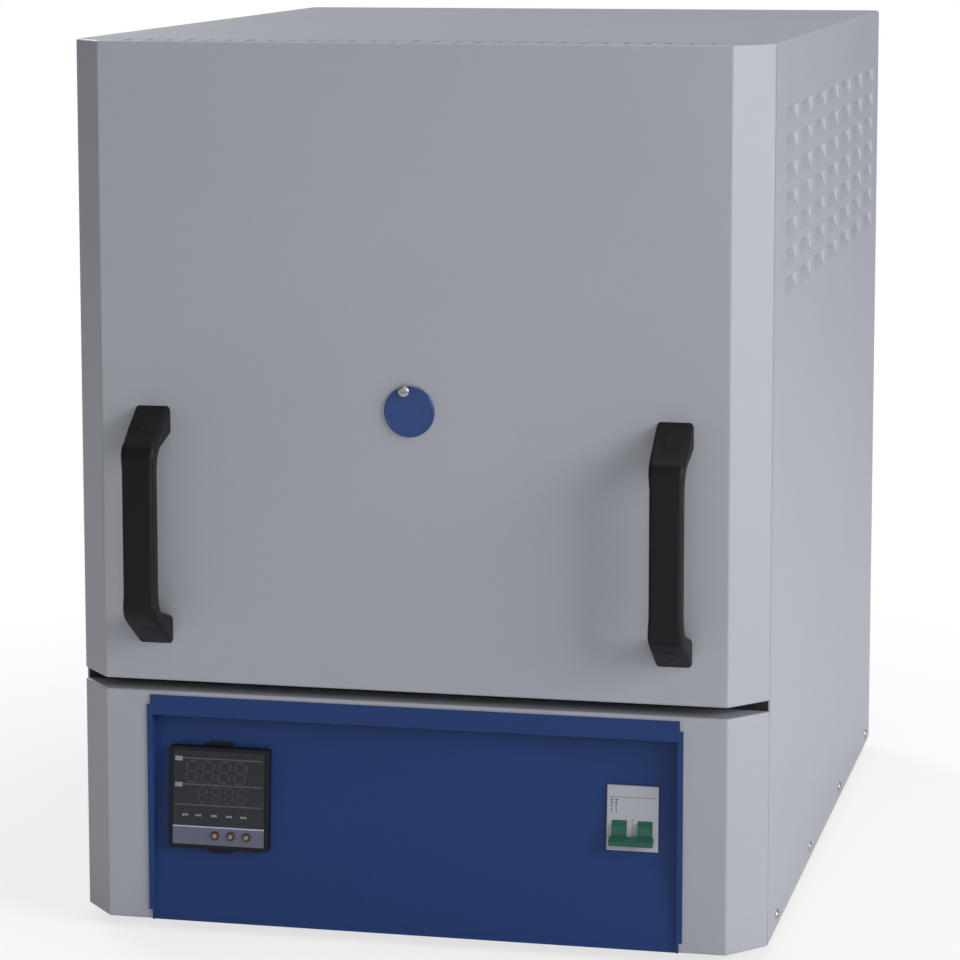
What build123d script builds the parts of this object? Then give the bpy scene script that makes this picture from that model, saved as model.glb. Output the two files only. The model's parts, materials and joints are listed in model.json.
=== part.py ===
from build123d import *
import os
from math import atan2, cos, degrees, radians, sin, sqrt, tan

# Bench-top muffle furnace with a front door that lifts on a parallelogram linkage.
#
# Everything is modelled in a working frame: X to the right, Y from the door's front face towards
# the back, Z up from the casing's underside. The last lines move each sub-part so that the origin
# is the centre of the footprint, at the surface that the feet stand on. Lengths are millimetres.

# Casing
casing_width = 486.0
casing_height = 615.0
side_panel_depth = 620.0
sheet = 1.2
bend_radius = 2.5
seam_gap = 2.0
sheet_fit = 0.3
return_flange = 14.0
frame_flange = 16.0
cutout_round = 4.0

# Front outline, shared by the door and the fascia under it
chamfer_width = 24.0
chamfer_depth = 28.0
front_edge_depth = 30.0
fascia_height = 164.0
door_gap = 7.5

# Louvres pressed inwards, slit along the top edge
louvre_length = 58.0
louvre_height = 12.0
louvre_depth = 3.4
louvre_end_slope = 3.0
louvre_edge = 1.0
louvre_rows = 7
louvre_row_pitch = 19.5
louvre_column_pitch = 78.0
louvre_top_margin = 51.5
louvre_first_column = 84.0
louvre_rear_margin = 40.0

# Heated chamber and what surrounds it
chamber_width = 200.0
chamber_height = 150.0
chamber_depth = 300.0
muffle_wall = 12.0
muffle_outer_round = 14.0
muffle_inner_round = 8.0
winding_space = 4.0
collar_depth = 26.5
collar_wall = 6.0
side_air_gap = 54.0
roof_air_gap = 62.0
rear_air_gap = 134.3
deck_air_gap = 9.0
jacket_skid = 20.0
jacket_skid_inset = 10.0
hearth_thickness = 8.0
hearth_margin = 9.0
ribbon_width = 8.0
ribbon_thickness = 2.0
winding_turns = 10
winding_pitch = 30.0
winding_first = 18.0
tail_spacing = 120.0
tail_reach = 24.0
bead_width = 22.0
bead_height = 14.0
bead_depth = 14.0
running_fit = 0.3

# Thermocouple
sheath_diameter = 8.0
sheath_reach = 40.0
sheath_above_centre = 30.0
head_diameter = 32.0
head_length = 26.0
head_seat = 6.0

# Door
door_pan_thickness = 1.2
plug_depth = 25.0
plug_clearance = 6.0
plug_taper = 4.0
gasket_width = 9.0
gasket_gap = 6.0
door_slot_margin = 16.0
door_slot_pitch = 14.4
door_slot_width = 4.5
door_slot_length = 18.0
door_slot_start = 7.0
door_vent_space = 34.0

# Lift linkage; the lower casing pivot lies behind and below the upper one. Shares are of the door's height
upper_pivot_y = 100.0
pivot_drop_share = 0.26
pivot_step_back = 45.0
pivot_step_share = 0.25
arm_share = 0.428
arm_rest_angle = 4.0
arm_thickness = 5.0
arm_width = 24.0
arm_side_clearance = 20.5
pin_diameter = 10.0
pin_running_fit = 0.05
pin_head_diameter = 15.0
pin_head_thickness = 1.2
pin_stub = 0.2
bracket_thickness = 4.0
bracket_gap = 2.5
bracket_margin = 14.0
bracket_flange = 24.0
pivot_plate_thickness = 3.0
pivot_plate_gap = 3.0
arm_slot_clearance = 2.0
arm_slot_rise = 6.5
arm_slot_roof_gap = 41.0

# Peephole and its cover disc
peephole_diameter = 14.0
sleeve_wall = 2.0
cover_diameter = 35.0
cover_thickness = 1.5
cover_pivot_x = -3.5
cover_pivot_z = 14.0
cover_screw_diameter = 4.0
cover_screw_head = 8.0
cover_screw_head_height = 2.4

# Handles
handle_inset = 61.0
handle_length = 166.5
handle_rise = 193.0
handle_projection = 39.0
handle_grip_width = 22.4
handle_foot_width = 25.0
handle_foot_height = 20.0
handle_grip_thickness = 13.0
handle_screw_diameter = 5.0
handle_screw_depth = 12.0
handle_outer_lean = 25.0
handle_inner_lean = 8.0
handle_outer_round = 14.0
handle_inner_round = 9.0
handle_flare_round = 20.0
handle_edge_round = 3.0

# Tilted control panel let into the fascia
panel_side_margin = 54.0
panel_top_gap = 3.0
panel_band = 14.0
panel_set_back = 11.0
panel_flange = 2.4
panel_notch = 7.0
panel_proud = 1.2
control_opening_margin = 6.0

# Temperature controller, 72 mm square front
controller_size = 72.0
controller_inset = 51.0
controller_drop = 58.5
controller_bezel = 6.5
controller_body = 67.0
controller_body_depth = 90.0
controller_rim = 3.0
window_depth = 1.2
strip_height = 13.0
button_diameter = 5.6
button_travel = 0.8
button_proud = 1.6
button_pitch = 11.4
button_first = -2.4
button_drop = 26.2
clip_width = 18.0
clip_reach = 3.0
clip_thickness = 2.5

# Two-pole breaker with a linked toggle
breaker_width = 35.6
breaker_nose_height = 45.0
breaker_height = 84.0
breaker_nose_depth = 26.0
breaker_body_depth = 44.0
breaker_proud = 2.0
breaker_inset = 35.5
breaker_drop = 56.5
toggle_pivot_depth = 7.0
toggle_hub_radius = 10.0
toggle_reach = 15.5
toggle_width = 9.5
toggle_thickness = 4.0
toggle_bar_height = 5.7
toggle_rest_angle = 30.0
toggle_pivot_z = -9.0
toggle_pin_radius = 1.5
toggle_travel = 60.0
breaker_groove = (0.6, 0.6)
breaker_groove_top = 0.0

# Electrical parts behind the fascia
deck_step = 6.0
deck_flange = 15.0
rail_width = 35.0
rail_depth = 7.5
rail_thickness = 1.2
rail_length = 60.0
relay_size = (45.0, 58.0, 24.0)
heatsink_size = (90.0, 100.0, 40.0)
heatsink_fins = 9
heatsink_fin = 2.0
heatsink_base = 6.0
relay_x = -60.0
relay_y = 330.0
wire_hole_x = (-40.0, 40.0)
wire_hole_depth = 30.0
terminal_pole = 14.0
terminal_poles = 5
terminal_depth = 36.0
terminal_height = 26.0
gland_thread = 20.0
gland_nut = 27.0
gland_nut_length = 9.0
gland_dome_length = 13.0
gland_bore = 9.0
gland_inset = 93.0
gland_inner_length = 12.0
gland_z = 60.0

# Base and fixings
foot_diameter = 26.0
foot_height = 8.0
foot_inset_x = 60.0
foot_inset_front = 75.0
foot_inset_back = 60.0
base_flange = 22.0
base_slot = (50.0, 5.0)
base_slot_rows = 8
base_slot_start = 172.0
base_slot_pitch = 14.0
screw_head_diameter = 7.5
screw_head_height = 2.0
screw_shank = 3.6
side_screw_z = 9.5
side_screw_first = 42.0
side_screw_pitch = 182.0
side_screw_rear_margin = 20.0
rear_vent_slot = (70.0, 5.0)
rear_vent_rows = 6
rear_vent_pitch = 14.0
rear_screw_inset = 9.0
rear_screw_low = 24.0
switch_size = (30.0, 12.0, 8.0)
switch_drop = 24.0

# Places worked out from the sizes above
half_width = casing_width / 2
flat_half = half_width - chamfer_width
door_bottom = fascia_height + door_gap
seam_y = front_edge_depth + seam_gap
back_y = seam_y + side_panel_depth
inner_half = half_width - sheet
frame_back = seam_y + sheet
muffle_front = frame_back + collar_depth
muffle_back = muffle_front + chamber_depth + muffle_wall
deck_z = fascia_height + deck_step
core_half_w = chamber_width / 2 + muffle_wall + winding_space
core_half_h = chamber_height / 2 + muffle_wall + winding_space
mouth_half_w = core_half_w - collar_wall
mouth_half_h = core_half_h - collar_wall
jacket_half_w = half_width - side_air_gap
jacket_half_h = (casing_height - roof_air_gap - deck_z - deck_air_gap) / 2
jacket_back = back_y - rear_air_gap
chamber_centre_z = deck_z + deck_air_gap + jacket_half_h
louvre_top_row_z = casing_height - louvre_top_margin
louvre_columns = int((side_panel_depth - louvre_first_column - louvre_rear_margin) / louvre_column_pitch) + 1
side_screw_count = int((side_panel_depth - side_screw_first - side_screw_rear_margin) / side_screw_pitch) + 1
door_slot_count = int(2 * (flat_half - door_slot_margin) / door_slot_pitch) + 1
door_height = casing_height - door_bottom
upper_pivot_z = casing_height - pivot_drop_share * door_height
pivot_step_down = pivot_step_share * door_height
arm_length = arm_share * door_height
arm_slot_bottom = door_bottom + arm_slot_rise
arm_slot_top = casing_height - arm_slot_roof_gap
arm_centre_x = half_width - arm_side_clearance
rest = radians(arm_rest_angle)
casing_pivots = [
    (upper_pivot_y, upper_pivot_z),
    (upper_pivot_y + pivot_step_back, upper_pivot_z - pivot_step_down),
]
door_pivots = [(y - arm_length * sin(rest), z - arm_length * cos(rest)) for y, z in casing_pivots]
arm_inner_x = arm_centre_x - arm_thickness / 2
arm_outer_x = arm_centre_x + arm_thickness / 2
bracket_outer_x = arm_inner_x - bracket_gap
bracket_inner_x = bracket_outer_x - bracket_thickness
plate_inner_x = arm_outer_x + pivot_plate_gap
plate_outer_x = plate_inner_x + pivot_plate_thickness
handle_spacing = 2 * (half_width - handle_inset)
handle_top_z = door_bottom + handle_rise
panel_width = 2 * (half_width - panel_side_margin)
panel_top = fascia_height - panel_top_gap
crease_z = panel_top - panel_band
panel_tilt = degrees(atan2(panel_set_back, crease_z))
panel_return = seam_y - sheet_fit
controller_x = controller_inset - panel_width / 2
controller_z = crease_z - controller_drop
breaker_x = panel_width / 2 - breaker_inset
breaker_z = crease_z - breaker_drop
gland_x = half_width - gland_inset


def block(x, y, z):
    """Box between the given pairs of limits."""
    size = [high - low for low, high in (x, y, z)]
    middle = [(high + low) / 2 for low, high in (x, y, z)]
    return Pos(*middle) * Box(*size)


def both(shape):
    """The shape and its mirror image across the middle plane."""
    return [shape, mirror(shape, about=Plane.YZ)]


def rod_x(radius, x, y, z):
    """Cylinder along X between two X limits."""
    return Pos((x[0] + x[1]) / 2, y, z) * Rot(0, 90, 0) * Cylinder(radius, x[1] - x[0])


def rod_y(radius, y, x, z):
    """Cylinder along Y between two Y limits."""
    return Pos(x, (y[0] + y[1]) / 2, z) * Rot(90, 0, 0) * Cylinder(radius, y[1] - y[0])


def rod_z(radius, z, x, y):
    """Cylinder along Z between two Z limits."""
    return Pos(x, y, (z[0] + z[1]) / 2) * Cylinder(radius, z[1] - z[0])


def pan_screw_y(x, y, z, towards, length):
    """Pan-head screw along Y; its head stands on the plane at y and faces towards (-1 or +1)."""
    head = rod_y(screw_head_diameter / 2, sorted((y, y + towards * screw_head_height)), x, z)
    rim = head.faces().sort_by(Axis.Y)[0 if towards < 0 else -1].edges()
    head = fillet(rim, screw_head_height * 0.45)
    return head + rod_y(screw_shank / 2, sorted((y, y - towards * length)), x, z)


def front_outline(inset, back):
    """Plan of the chamfered front, moved inwards by inset all round, open side at back."""
    slope = sqrt(chamfer_width**2 + chamfer_depth**2)
    shift = inset * (slope - chamfer_depth) / chamfer_width
    side = half_width - inset
    turn = chamfer_depth + inset * (slope - chamfer_width) / chamfer_depth
    flat = flat_half - shift
    points = [(-side, back), (-side, turn), (-flat, inset), (flat, inset), (side, turn), (side, back)]
    return make_face(Polyline(*points, close=True))


def front_solid(inset, back, bottom, top, radius):
    """The chamfered front as a solid between two heights, its upright edges bent to radius."""
    solid = Pos(0, 0, bottom) * extrude(front_outline(inset, back), top - bottom)
    upright = solid.edges().filter_by(Axis.Z).group_by(Axis.Y)[:-1]
    return fillet([edge for group in upright for edge in group], radius)


def front_tray(bottom, top):
    """Folded sheet tray with the chamfered front, open at the back."""
    outer = front_solid(0, front_edge_depth, bottom, top, bend_radius)
    front_rim = [e for e in outer.faces().sort_by(Axis.Z)[-1].edges() + outer.faces().sort_by(Axis.Z)[0].edges()
                 if e.center().Y < front_edge_depth - sheet]
    outer = fillet(front_rim, bend_radius * 0.6)
    hollow = front_solid(sheet, front_edge_depth + 1, bottom + sheet, top - sheet, bend_radius - sheet)
    return outer - hollow


def louvre_cavity(depth_shift):
    """One louvre's hollow at the origin: a wedge, deepest along its top edge, sloped at both ends.

    X is the way out of the sheet; depth_shift moves the hollow inwards.
    """
    mouth = Plane(origin=(-depth_shift, 0, 0), x_dir=(0, 1, 0), z_dir=(1, 0, 0))
    floor = Plane(origin=(-depth_shift - louvre_depth, 0, (louvre_height - louvre_edge) / 2),
                  x_dir=(0, 1, 0), z_dir=(1, 0, 0))
    outline = mouth * Rectangle(louvre_length, louvre_height)
    bottom = floor * Rectangle(louvre_length - 2 * louvre_end_slope, louvre_edge)
    return loft([outline, bottom], ruled=True)


def casing_inside(start, end):
    """Space inside the roof and sides, with the inner bend radius at the top corners."""
    space = block((-inner_half, inner_half), (start, end), (-1, casing_height - sheet))
    return fillet(space.edges().filter_by(Axis.Y).group_by(Axis.Z)[-1], bend_radius - sheet)


def make_casing_wrap():
    """Roof and both sides folded from one sheet, with louvres pressed into each side."""
    outline = Plane.XZ * Pos(0, casing_height / 2) * Rectangle(casing_width, casing_height)
    outer = Pos(0, back_y, 0) * extrude(outline, side_panel_depth)
    roof_edges = outer.edges().filter_by(Axis.Y).group_by(Axis.Z)[-1]
    outer = fillet(roof_edges, bend_radius)
    wrap = outer - casing_inside(seam_y - 1, back_y + 1)
    back = casing_inside(back_y - sheet, back_y)
    back -= block((-inner_half + return_flange, inner_half - return_flange), (back_y - 2 * sheet, back_y + 1),
                  (-2, casing_height - sheet - return_flange))
    wrap += back - block((-half_width, half_width), (back_y - 2 * sheet, back_y + 1), (-2, base_flange + 2))
    places = [(seam_y + louvre_first_column + column * louvre_column_pitch,
               louvre_top_row_z - row * louvre_row_pitch)
              for column in range(louvre_columns) for row in range(louvre_rows)]
    skins, hollows = louvre_cavity(sheet), louvre_cavity(0)
    right_skins = [Pos(half_width, y, z) * skins for y, z in places]
    right_hollows = [Pos(half_width, y, z) * hollows for y, z in places]
    left_skins = [mirror(s, about=Plane.YZ) for s in right_skins]
    left_hollows = [mirror(s, about=Plane.YZ) for s in right_hollows]
    wrap = wrap.fuse(*right_skins, *left_skins).cut(*right_hollows, *left_hollows)
    for x, y, z in side_screw_places():
        wrap -= rod_x(screw_shank / 2 + sheet_fit / 2, sorted((x * 0.98, x * 1.02)), y, z)
    for x, z in rear_screw_places():
        wrap -= rod_y(screw_shank / 2 + sheet_fit / 2, (back_y - 3 * sheet, back_y + 1), x, z)
    return wrap


def side_screw_places():
    """Where the bottom screws meet the outside of each side panel."""
    return [(side * half_width, seam_y + side_screw_first + i * side_screw_pitch, side_screw_z)
            for side in (-1, 1) for i in range(side_screw_count)]


def rear_screw_places():
    """Where the rear panel is screwed to the wrap's return flanges."""
    x = inner_half - rear_screw_inset
    low = base_flange + rear_screw_low
    high = casing_height - sheet - rear_screw_inset
    heights = [low + i * (high - low) / 3 for i in range(4)]
    return [(side * x, z) for side in (-1, 1) for z in heights] + [(0, high)]


def make_rear_panel():
    """Flat cover over the back, with fields of vent slots and a hole for the gland."""
    plate = block((-half_width + 2, half_width - 2), (back_y, back_y + sheet), (2, casing_height - 2))
    plate = fillet(plate.edges().filter_by(Axis.Y), 3)
    slot = Plane.XZ * SlotOverall(*rear_vent_slot)
    cutter = extrude(slot, sheet * 4, both=True)
    for x in (-half_width / 2, half_width / 2):
        for row in range(rear_vent_rows):
            for z in (fascia_height - 2 * rear_vent_pitch, casing_height - 2 * rear_vent_pitch):
                if z < fascia_height and x > 0:
                    continue
                plate -= Pos(x, back_y, z - row * rear_vent_pitch) * cutter
    plate -= rod_y(gland_thread / 2 + running_fit, (back_y - 1, back_y + 2 * sheet), gland_x, gland_z)
    for x, z in rear_screw_places():
        plate -= rod_y(screw_shank / 2 + sheet_fit / 2, (back_y - 1, back_y + 2 * sheet), x, z)
    return plate


def sheath_z():
    """Height of the thermocouple's axis."""
    return chamber_centre_z + sheath_above_centre


def arm_slot_x():
    """Inner and outer X limits of the front frame's arm slot on the right."""
    low = bracket_inner_x - arm_slot_clearance
    high = arm_outer_x + pin_stub + pin_head_thickness + arm_slot_clearance
    return low, high


def make_front_frame():
    """Sheet behind the door: chamber mouth, two arm slots, control opening, flanges to the wrap."""
    top = casing_height - sheet
    flange_end = seam_y + frame_flange
    frame = block((-inner_half, inner_half), (seam_y, frame_back), (sheet, top))
    for side in (-1, 1):
        x = sorted((side * (inner_half - sheet), side * inner_half))
        frame += block(x, (seam_y, flange_end), (base_flange + 2, top))
    frame += block((-inner_half, inner_half), (seam_y, flange_end), (top - sheet, top))
    frame = frame & casing_inside(seam_y, flange_end)
    mouth = block((-mouth_half_w, mouth_half_w), (seam_y - 1, frame_back + 1),
                  (chamber_centre_z - mouth_half_h, chamber_centre_z + mouth_half_h))
    frame -= fillet(mouth.edges().filter_by(Axis.Y), cutout_round)
    low, high = arm_slot_x()
    slot = block((low, high), (seam_y - 1, frame_back + 1), (arm_slot_bottom, arm_slot_top))
    slot = fillet(slot.edges().filter_by(Axis.Y), cutout_round)
    frame = frame - slot - mirror(slot, about=Plane.YZ)
    opening = panel_width / 2 + control_opening_margin
    frame -= block((-opening, opening), (seam_y - 1, frame_back + 1), (0, crease_z))
    return frame


def make_fascia():
    """Chamfered lower front cover, cut away for the control panel, with a stepped rear rim."""
    tray = front_tray(0, fascia_height)
    opening = panel_width / 2 - panel_flange
    tray -= block((-opening, opening), (-1, front_edge_depth + 1), (-1, panel_top - panel_flange))
    rim = []
    for side in (-1, 1):
        x = sorted((side * (inner_half - sheet), side * inner_half))
        rim.append(block(x, (chamfer_depth + sheet, seam_y), (sheet, fascia_height - sheet)))
    rim.append(block((-flat_half, flat_half), (front_edge_depth - 8, seam_y),
                     (fascia_height - 2 * sheet, fascia_height - sheet)))
    return tray.fuse(*rim)


def panel_place(x, z, out=0.0):
    """Location on the tilted panel face: x across, z up from the casing's underside, out along its normal.

    The local frame there has X to the right, Z up the face and -Y out of it.
    """
    return Pos(x, 0, 0) * Rot(-panel_tilt, 0, 0) * Pos(0, -out, z / cos(radians(panel_tilt)))


def make_control_panel():
    """Folded panel: flush band at the top, ledge, face leaning back, cheeks, foot flange."""
    half = panel_width / 2
    cheek = half - panel_flange - sheet_fit
    front = -panel_proud
    section = make_face(Polyline((front, panel_top), (front, crease_z), (panel_set_back, crease_z), (0, 0),
                       (panel_return, 0), (panel_return, sheet), (sheet * 1.05, sheet),
                       (panel_set_back + sheet, crease_z + sheet), (0, crease_z + sheet),
                       (0, panel_top), close=True))
    body = Pos(-cheek, 0, 0) * extrude(Plane.YZ * section, 2 * cheek)
    side = make_face(Polyline((front, crease_z), (panel_set_back + sheet, crease_z), (sheet, sheet), (0, 0),
                              (front, 0), close=True))
    parts = []
    for sign in (-1, 1):
        inner = sign * cheek if sign < 0 else cheek - sheet
        parts.append(Pos(inner, 0, 0) * extrude(Plane.YZ * side, sheet))
        x = sorted((sign * (cheek - sheet), sign * half))
        parts.append(block(x, (front, 0), (panel_notch, panel_top - panel_notch)))
        x = sorted((sign * (cheek - sheet), sign * (half - panel_flange)))
        parts.append(block(x, (front, 0), (0, panel_top)))
    panel = body.fuse(*parts)
    panel = panel - controller_cutout() - breaker_cutout()
    return panel


def controller_cutout():
    """Square hole for the controller's body."""
    size = controller_body + 1.0
    return panel_place(controller_x, controller_z) * Box(size, 20, size)


def breaker_cutout():
    """Hole for the breaker's nose."""
    return panel_place(breaker_x, breaker_z) * Box(breaker_width + 0.8, 20, breaker_nose_height + 0.8)


def make_base_pan():
    """Bottom tray with upturned sides and back, and intake slots under the control space."""
    pan = block((-inner_half, inner_half), (seam_y, back_y), (0, sheet))
    for side in (-1, 1):
        x = sorted((side * (inner_half - sheet), side * inner_half))
        pan += block(x, (frame_back, back_y), (0, base_flange))
    pan += block((-inner_half, inner_half), (back_y - sheet, back_y), (0, base_flange))
    cutter = extrude(SlotOverall(*base_slot), sheet * 4, both=True)
    for x in (-half_width / 2, half_width / 2):
        for row in range(base_slot_rows):
            pan -= Pos(x, base_slot_start + row * base_slot_pitch, 0) * cutter
    for x, y_screw, z in side_screw_places():
        pan -= rod_x(screw_shank / 2 + sheet_fit / 2, sorted((x * 0.98, x * 1.02)), y_screw, z)
    return pan


def make_feet():
    """Four round rubber feet, slightly tapered."""
    places = [(side * (half_width - foot_inset_x), y)
              for side in (-1, 1) for y in (foot_inset_front, back_y - foot_inset_back)]
    foot = chamfer(rod_z(foot_diameter / 2, (-foot_height, 0), 0, 0).edges().sort_by(Axis.Z)[0], 1.5)
    return [Pos(x, y, 0) * foot for x, y in places]


def make_deck():
    """Shelf between the control space and the furnace, flanged down at both sides."""
    half = inner_half - sheet
    deck = block((-half, half), (frame_back, back_y - sheet), (deck_z, deck_z + sheet))
    for side in (-1, 1):
        x = sorted((side * (half - sheet), side * half))
        deck += block(x, (frame_back, back_y - sheet), (deck_z - deck_flange, deck_z))
    return deck - block(wire_hole_x, (jacket_back + wire_hole_depth, jacket_back + 2 * wire_hole_depth),
                        (deck_z - 1, deck_z + 2 * sheet))


def make_jacket():
    """Inner steel case around the insulation, open at the front."""
    z = (chamber_centre_z - jacket_half_h, chamber_centre_z + jacket_half_h)
    case = block((-jacket_half_w - sheet, jacket_half_w + sheet), (frame_back, jacket_back + sheet),
                 (z[0] - sheet, z[1] + sheet))
    case -= block((-jacket_half_w, jacket_half_w), (frame_back - 1, jacket_back), z)
    for side in (-1, 1):
        outer = jacket_half_w - jacket_skid_inset
        x = sorted((side * (outer - jacket_skid), side * outer))
        case += block(x, (frame_back, jacket_back), (deck_z + sheet, z[0] - sheet))
    return case - rear_services(jacket_back - 1, jacket_back + sheet + 1)


def rear_services(start, end):
    """Cutter for what passes through the back: the sheath and the two tails."""
    cutter = rod_y(sheath_diameter / 2 + running_fit, (start, end), 0, sheath_z())
    return cutter.fuse(*[tail_block(x, (start, end), running_fit) for x in tail_places()])


def tail_places():
    """X of the two winding tails."""
    return -tail_spacing / 2, tail_spacing / 2


def tail_block(x, y, grow):
    """Flat tail strip along Y over the muffle, grown all round by a clearance."""
    z = chamber_centre_z + chamber_height / 2 + muffle_wall + running_fit
    half = ribbon_width / 2 + grow
    return block((x - half, x + half), y, (z - grow, z + ribbon_thickness + grow))


def make_insulation():
    """Five fibre boards round the muffle."""
    y = (frame_back, jacket_back)
    centre = chamber_centre_z
    side = block((core_half_w, jacket_half_w), y, (centre - jacket_half_h, centre + jacket_half_h))
    top = block((-core_half_w, core_half_w), y, (centre + core_half_h, centre + jacket_half_h))
    bottom = block((-core_half_w, core_half_w), y, (centre - jacket_half_h, centre - core_half_h))
    rear = block((-core_half_w, core_half_w), (muffle_back, jacket_back),
                 (centre - core_half_h, centre + core_half_h))
    rear -= rear_services(muffle_back - 1, jacket_back + 1)
    return {
        "insulation_right": side,
        "insulation_left": mirror(side, about=Plane.YZ),
        "insulation_top": top,
        "insulation_bottom": bottom,
        "insulation_rear": rear,
    }


def make_mouth_collar():
    """Dense ceramic ring that lines the mouth between the front frame and the muffle."""
    centre = chamber_centre_z
    y = (frame_back, muffle_front)
    ring = block((-core_half_w, core_half_w), y, (centre - core_half_h, centre + core_half_h))
    inner = block((-mouth_half_w, mouth_half_w), (y[0] - 1, y[1] + 1),
                  (centre - mouth_half_h, centre + mouth_half_h))
    return ring - fillet(inner.edges().filter_by(Axis.Y), cutout_round)


def make_muffle():
    """Ceramic box, open at the front, with rounded corners and a hole in its back wall."""
    centre = chamber_centre_z
    half_w, half_h = chamber_width / 2, chamber_height / 2
    outer = block((-half_w - muffle_wall, half_w + muffle_wall), (muffle_front, muffle_back),
                  (centre - half_h - muffle_wall, centre + half_h + muffle_wall))
    outer = fillet(outer.edges().filter_by(Axis.Y), muffle_outer_round)
    inner = block((-half_w, half_w), (muffle_front - 1, muffle_back - muffle_wall),
                  (centre - half_h, centre + half_h))
    inner = fillet(inner.edges().filter_by(Axis.Y), muffle_inner_round)
    wall = (muffle_back - muffle_wall - 1, muffle_back + 1)
    muffle = outer - inner
    return muffle - rod_y(sheath_diameter / 2 + running_fit, wall, 0, sheath_z())


def make_winding():
    """Resistance ribbon wound round the muffle: flat loops joined by a strip down one side."""
    centre = chamber_centre_z
    half_w = chamber_width / 2 + muffle_wall + running_fit
    half_h = chamber_height / 2 + muffle_wall + running_fit
    inside_round = muffle_outer_round + running_fit
    outline = Plane.XZ * (RectangleRounded(2 * (half_w + ribbon_thickness), 2 * (half_h + ribbon_thickness),
                                           inside_round + ribbon_thickness)
                          - RectangleRounded(2 * half_w, 2 * half_h, inside_round))
    loop = extrude(outline, ribbon_width)
    starts = [muffle_front + winding_first + i * winding_pitch for i in range(winding_turns)]
    loops = [Pos(0, y + ribbon_width, centre) * loop for y in starts]
    link = block((-half_w - ribbon_thickness, -half_w), (starts[0], starts[-1] + ribbon_width),
                 (centre - ribbon_width / 2, centre + ribbon_width / 2))
    return link.fuse(*loops)


def make_winding_tails():
    """Two strips from the last loop, back through the insulation to the terminal beads."""
    start = muffle_front + winding_first + (winding_turns - 1) * winding_pitch + ribbon_width
    end = jacket_back + sheet + bead_depth + tail_reach
    return [tail_block(x, (start, end), 0) for x in tail_places()]


def make_terminal_beads():
    """Ceramic blocks on the jacket's back wall that the tails pass through."""
    y = (jacket_back + sheet, jacket_back + sheet + bead_depth)
    z = chamber_centre_z + chamber_height / 2 + muffle_wall + running_fit + ribbon_thickness / 2
    beads = []
    for x in tail_places():
        bead = block((x - bead_width / 2, x + bead_width / 2), y, (z - bead_height / 2, z + bead_height / 2))
        bead = chamfer(bead.faces().sort_by(Axis.Y)[-1].edges(), 2)
        beads.append(bead - tail_block(x, (y[0] - 1, y[1] + 1), running_fit / 2))
    return beads


def make_hearth():
    """Loose ceramic floor tile on the chamber's bottom."""
    floor = chamber_centre_z - chamber_height / 2
    half = chamber_width / 2 - hearth_margin
    tile = block((-half, half), (muffle_front + hearth_margin, muffle_back - muffle_wall - hearth_margin),
                 (floor, floor + hearth_thickness))
    return fillet(tile.edges().filter_by(Axis.Z), 6)


def make_thermocouple():
    """Ceramic sheath through the back wall, and its round connection head behind the jacket."""
    tip = muffle_back - muffle_wall - sheath_reach
    seat = jacket_back + sheet
    front = seat + head_seat
    sheath = rod_y(sheath_diameter / 2, (tip, front), 0, sheath_z())
    sheath = fillet(sheath.edges().sort_by(Axis.Y)[0], sheath_diameter * 0.4)
    head = rod_y(head_diameter / 2, (front, front + head_length), 0, sheath_z())
    head = chamfer(head.edges().sort_by(Axis.Y)[-1], 3)
    flange = rod_y(head_diameter * 0.62, (seat, front), 0, sheath_z())
    flange -= rod_y(sheath_diameter / 2, (seat - 1, front), 0, sheath_z())
    return sheath, head.fuse(flange)


def make_door_shell():
    """Door's outer skin: chamfered tray with a row of vent slots in its top and a peephole."""
    shell = front_tray(door_bottom, casing_height)
    slot = extrude(SlotOverall(door_slot_length, door_slot_width, rotation=90), sheet * 4, both=True)
    first = -(door_slot_count - 1) / 2 * door_slot_pitch
    y = door_slot_start + door_slot_length / 2
    cutters = [Pos(first + i * door_slot_pitch, y, casing_height) * slot for i in range(door_slot_count)]
    shell = shell.cut(*cutters)
    shell -= rod_y(peephole_diameter / 2 + sleeve_wall, (-1, 2 * sheet), 0, chamber_centre_z)
    shell -= rod_y(cover_screw_diameter / 2, (-1, 2 * sheet), cover_pivot_x, chamber_centre_z + cover_pivot_z)
    for x, z in handle_screw_places():
        shell -= rod_y(handle_screw_diameter / 2 + sheet_fit / 2, (-1, 2 * sheet), x, z)
    return shell


def make_door_pan():
    """Flat sheet that closes the door's back; the plug stands on it."""
    y = (front_edge_depth - door_pan_thickness, front_edge_depth)
    pan = front_solid(sheet, y[1], door_bottom + sheet, casing_height - sheet, bend_radius - sheet)
    pan = pan & block((-half_width, half_width), y, (0, casing_height))
    return pan - rod_y(peephole_diameter / 2 + sleeve_wall, (y[0] - 1, y[1] + 1), 0, chamber_centre_z)


def make_door_insulation():
    """Fibre board that fills the door under its vent space."""
    z = (door_bottom + sheet, casing_height - door_vent_space)
    y = (sheet + 2 * cover_screw_head_height, front_edge_depth - door_pan_thickness)
    half = bracket_inner_x - 2
    board = block((-half, half), y, z)
    return board - rod_y(peephole_diameter / 2 + sleeve_wall, (0, front_edge_depth), 0, chamber_centre_z)


def make_door_plug():
    """Tapered ceramic-fibre plug that fills the mouth when the door is shut."""
    half_w, half_h = mouth_half_w - plug_clearance, mouth_half_h - plug_clearance
    near = Plane.XZ.offset(-front_edge_depth) * RectangleRounded(2 * half_w, 2 * half_h, 10)
    far = Plane.XZ.offset(-front_edge_depth - plug_depth) * RectangleRounded(
        2 * (half_w - plug_taper), 2 * (half_h - plug_taper), 8)
    plug = Pos(0, 0, chamber_centre_z) * loft([near, far])
    hole = (front_edge_depth - 1, front_edge_depth + plug_depth + 1)
    return plug - rod_y(peephole_diameter / 2, hole, 0, chamber_centre_z)


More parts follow.
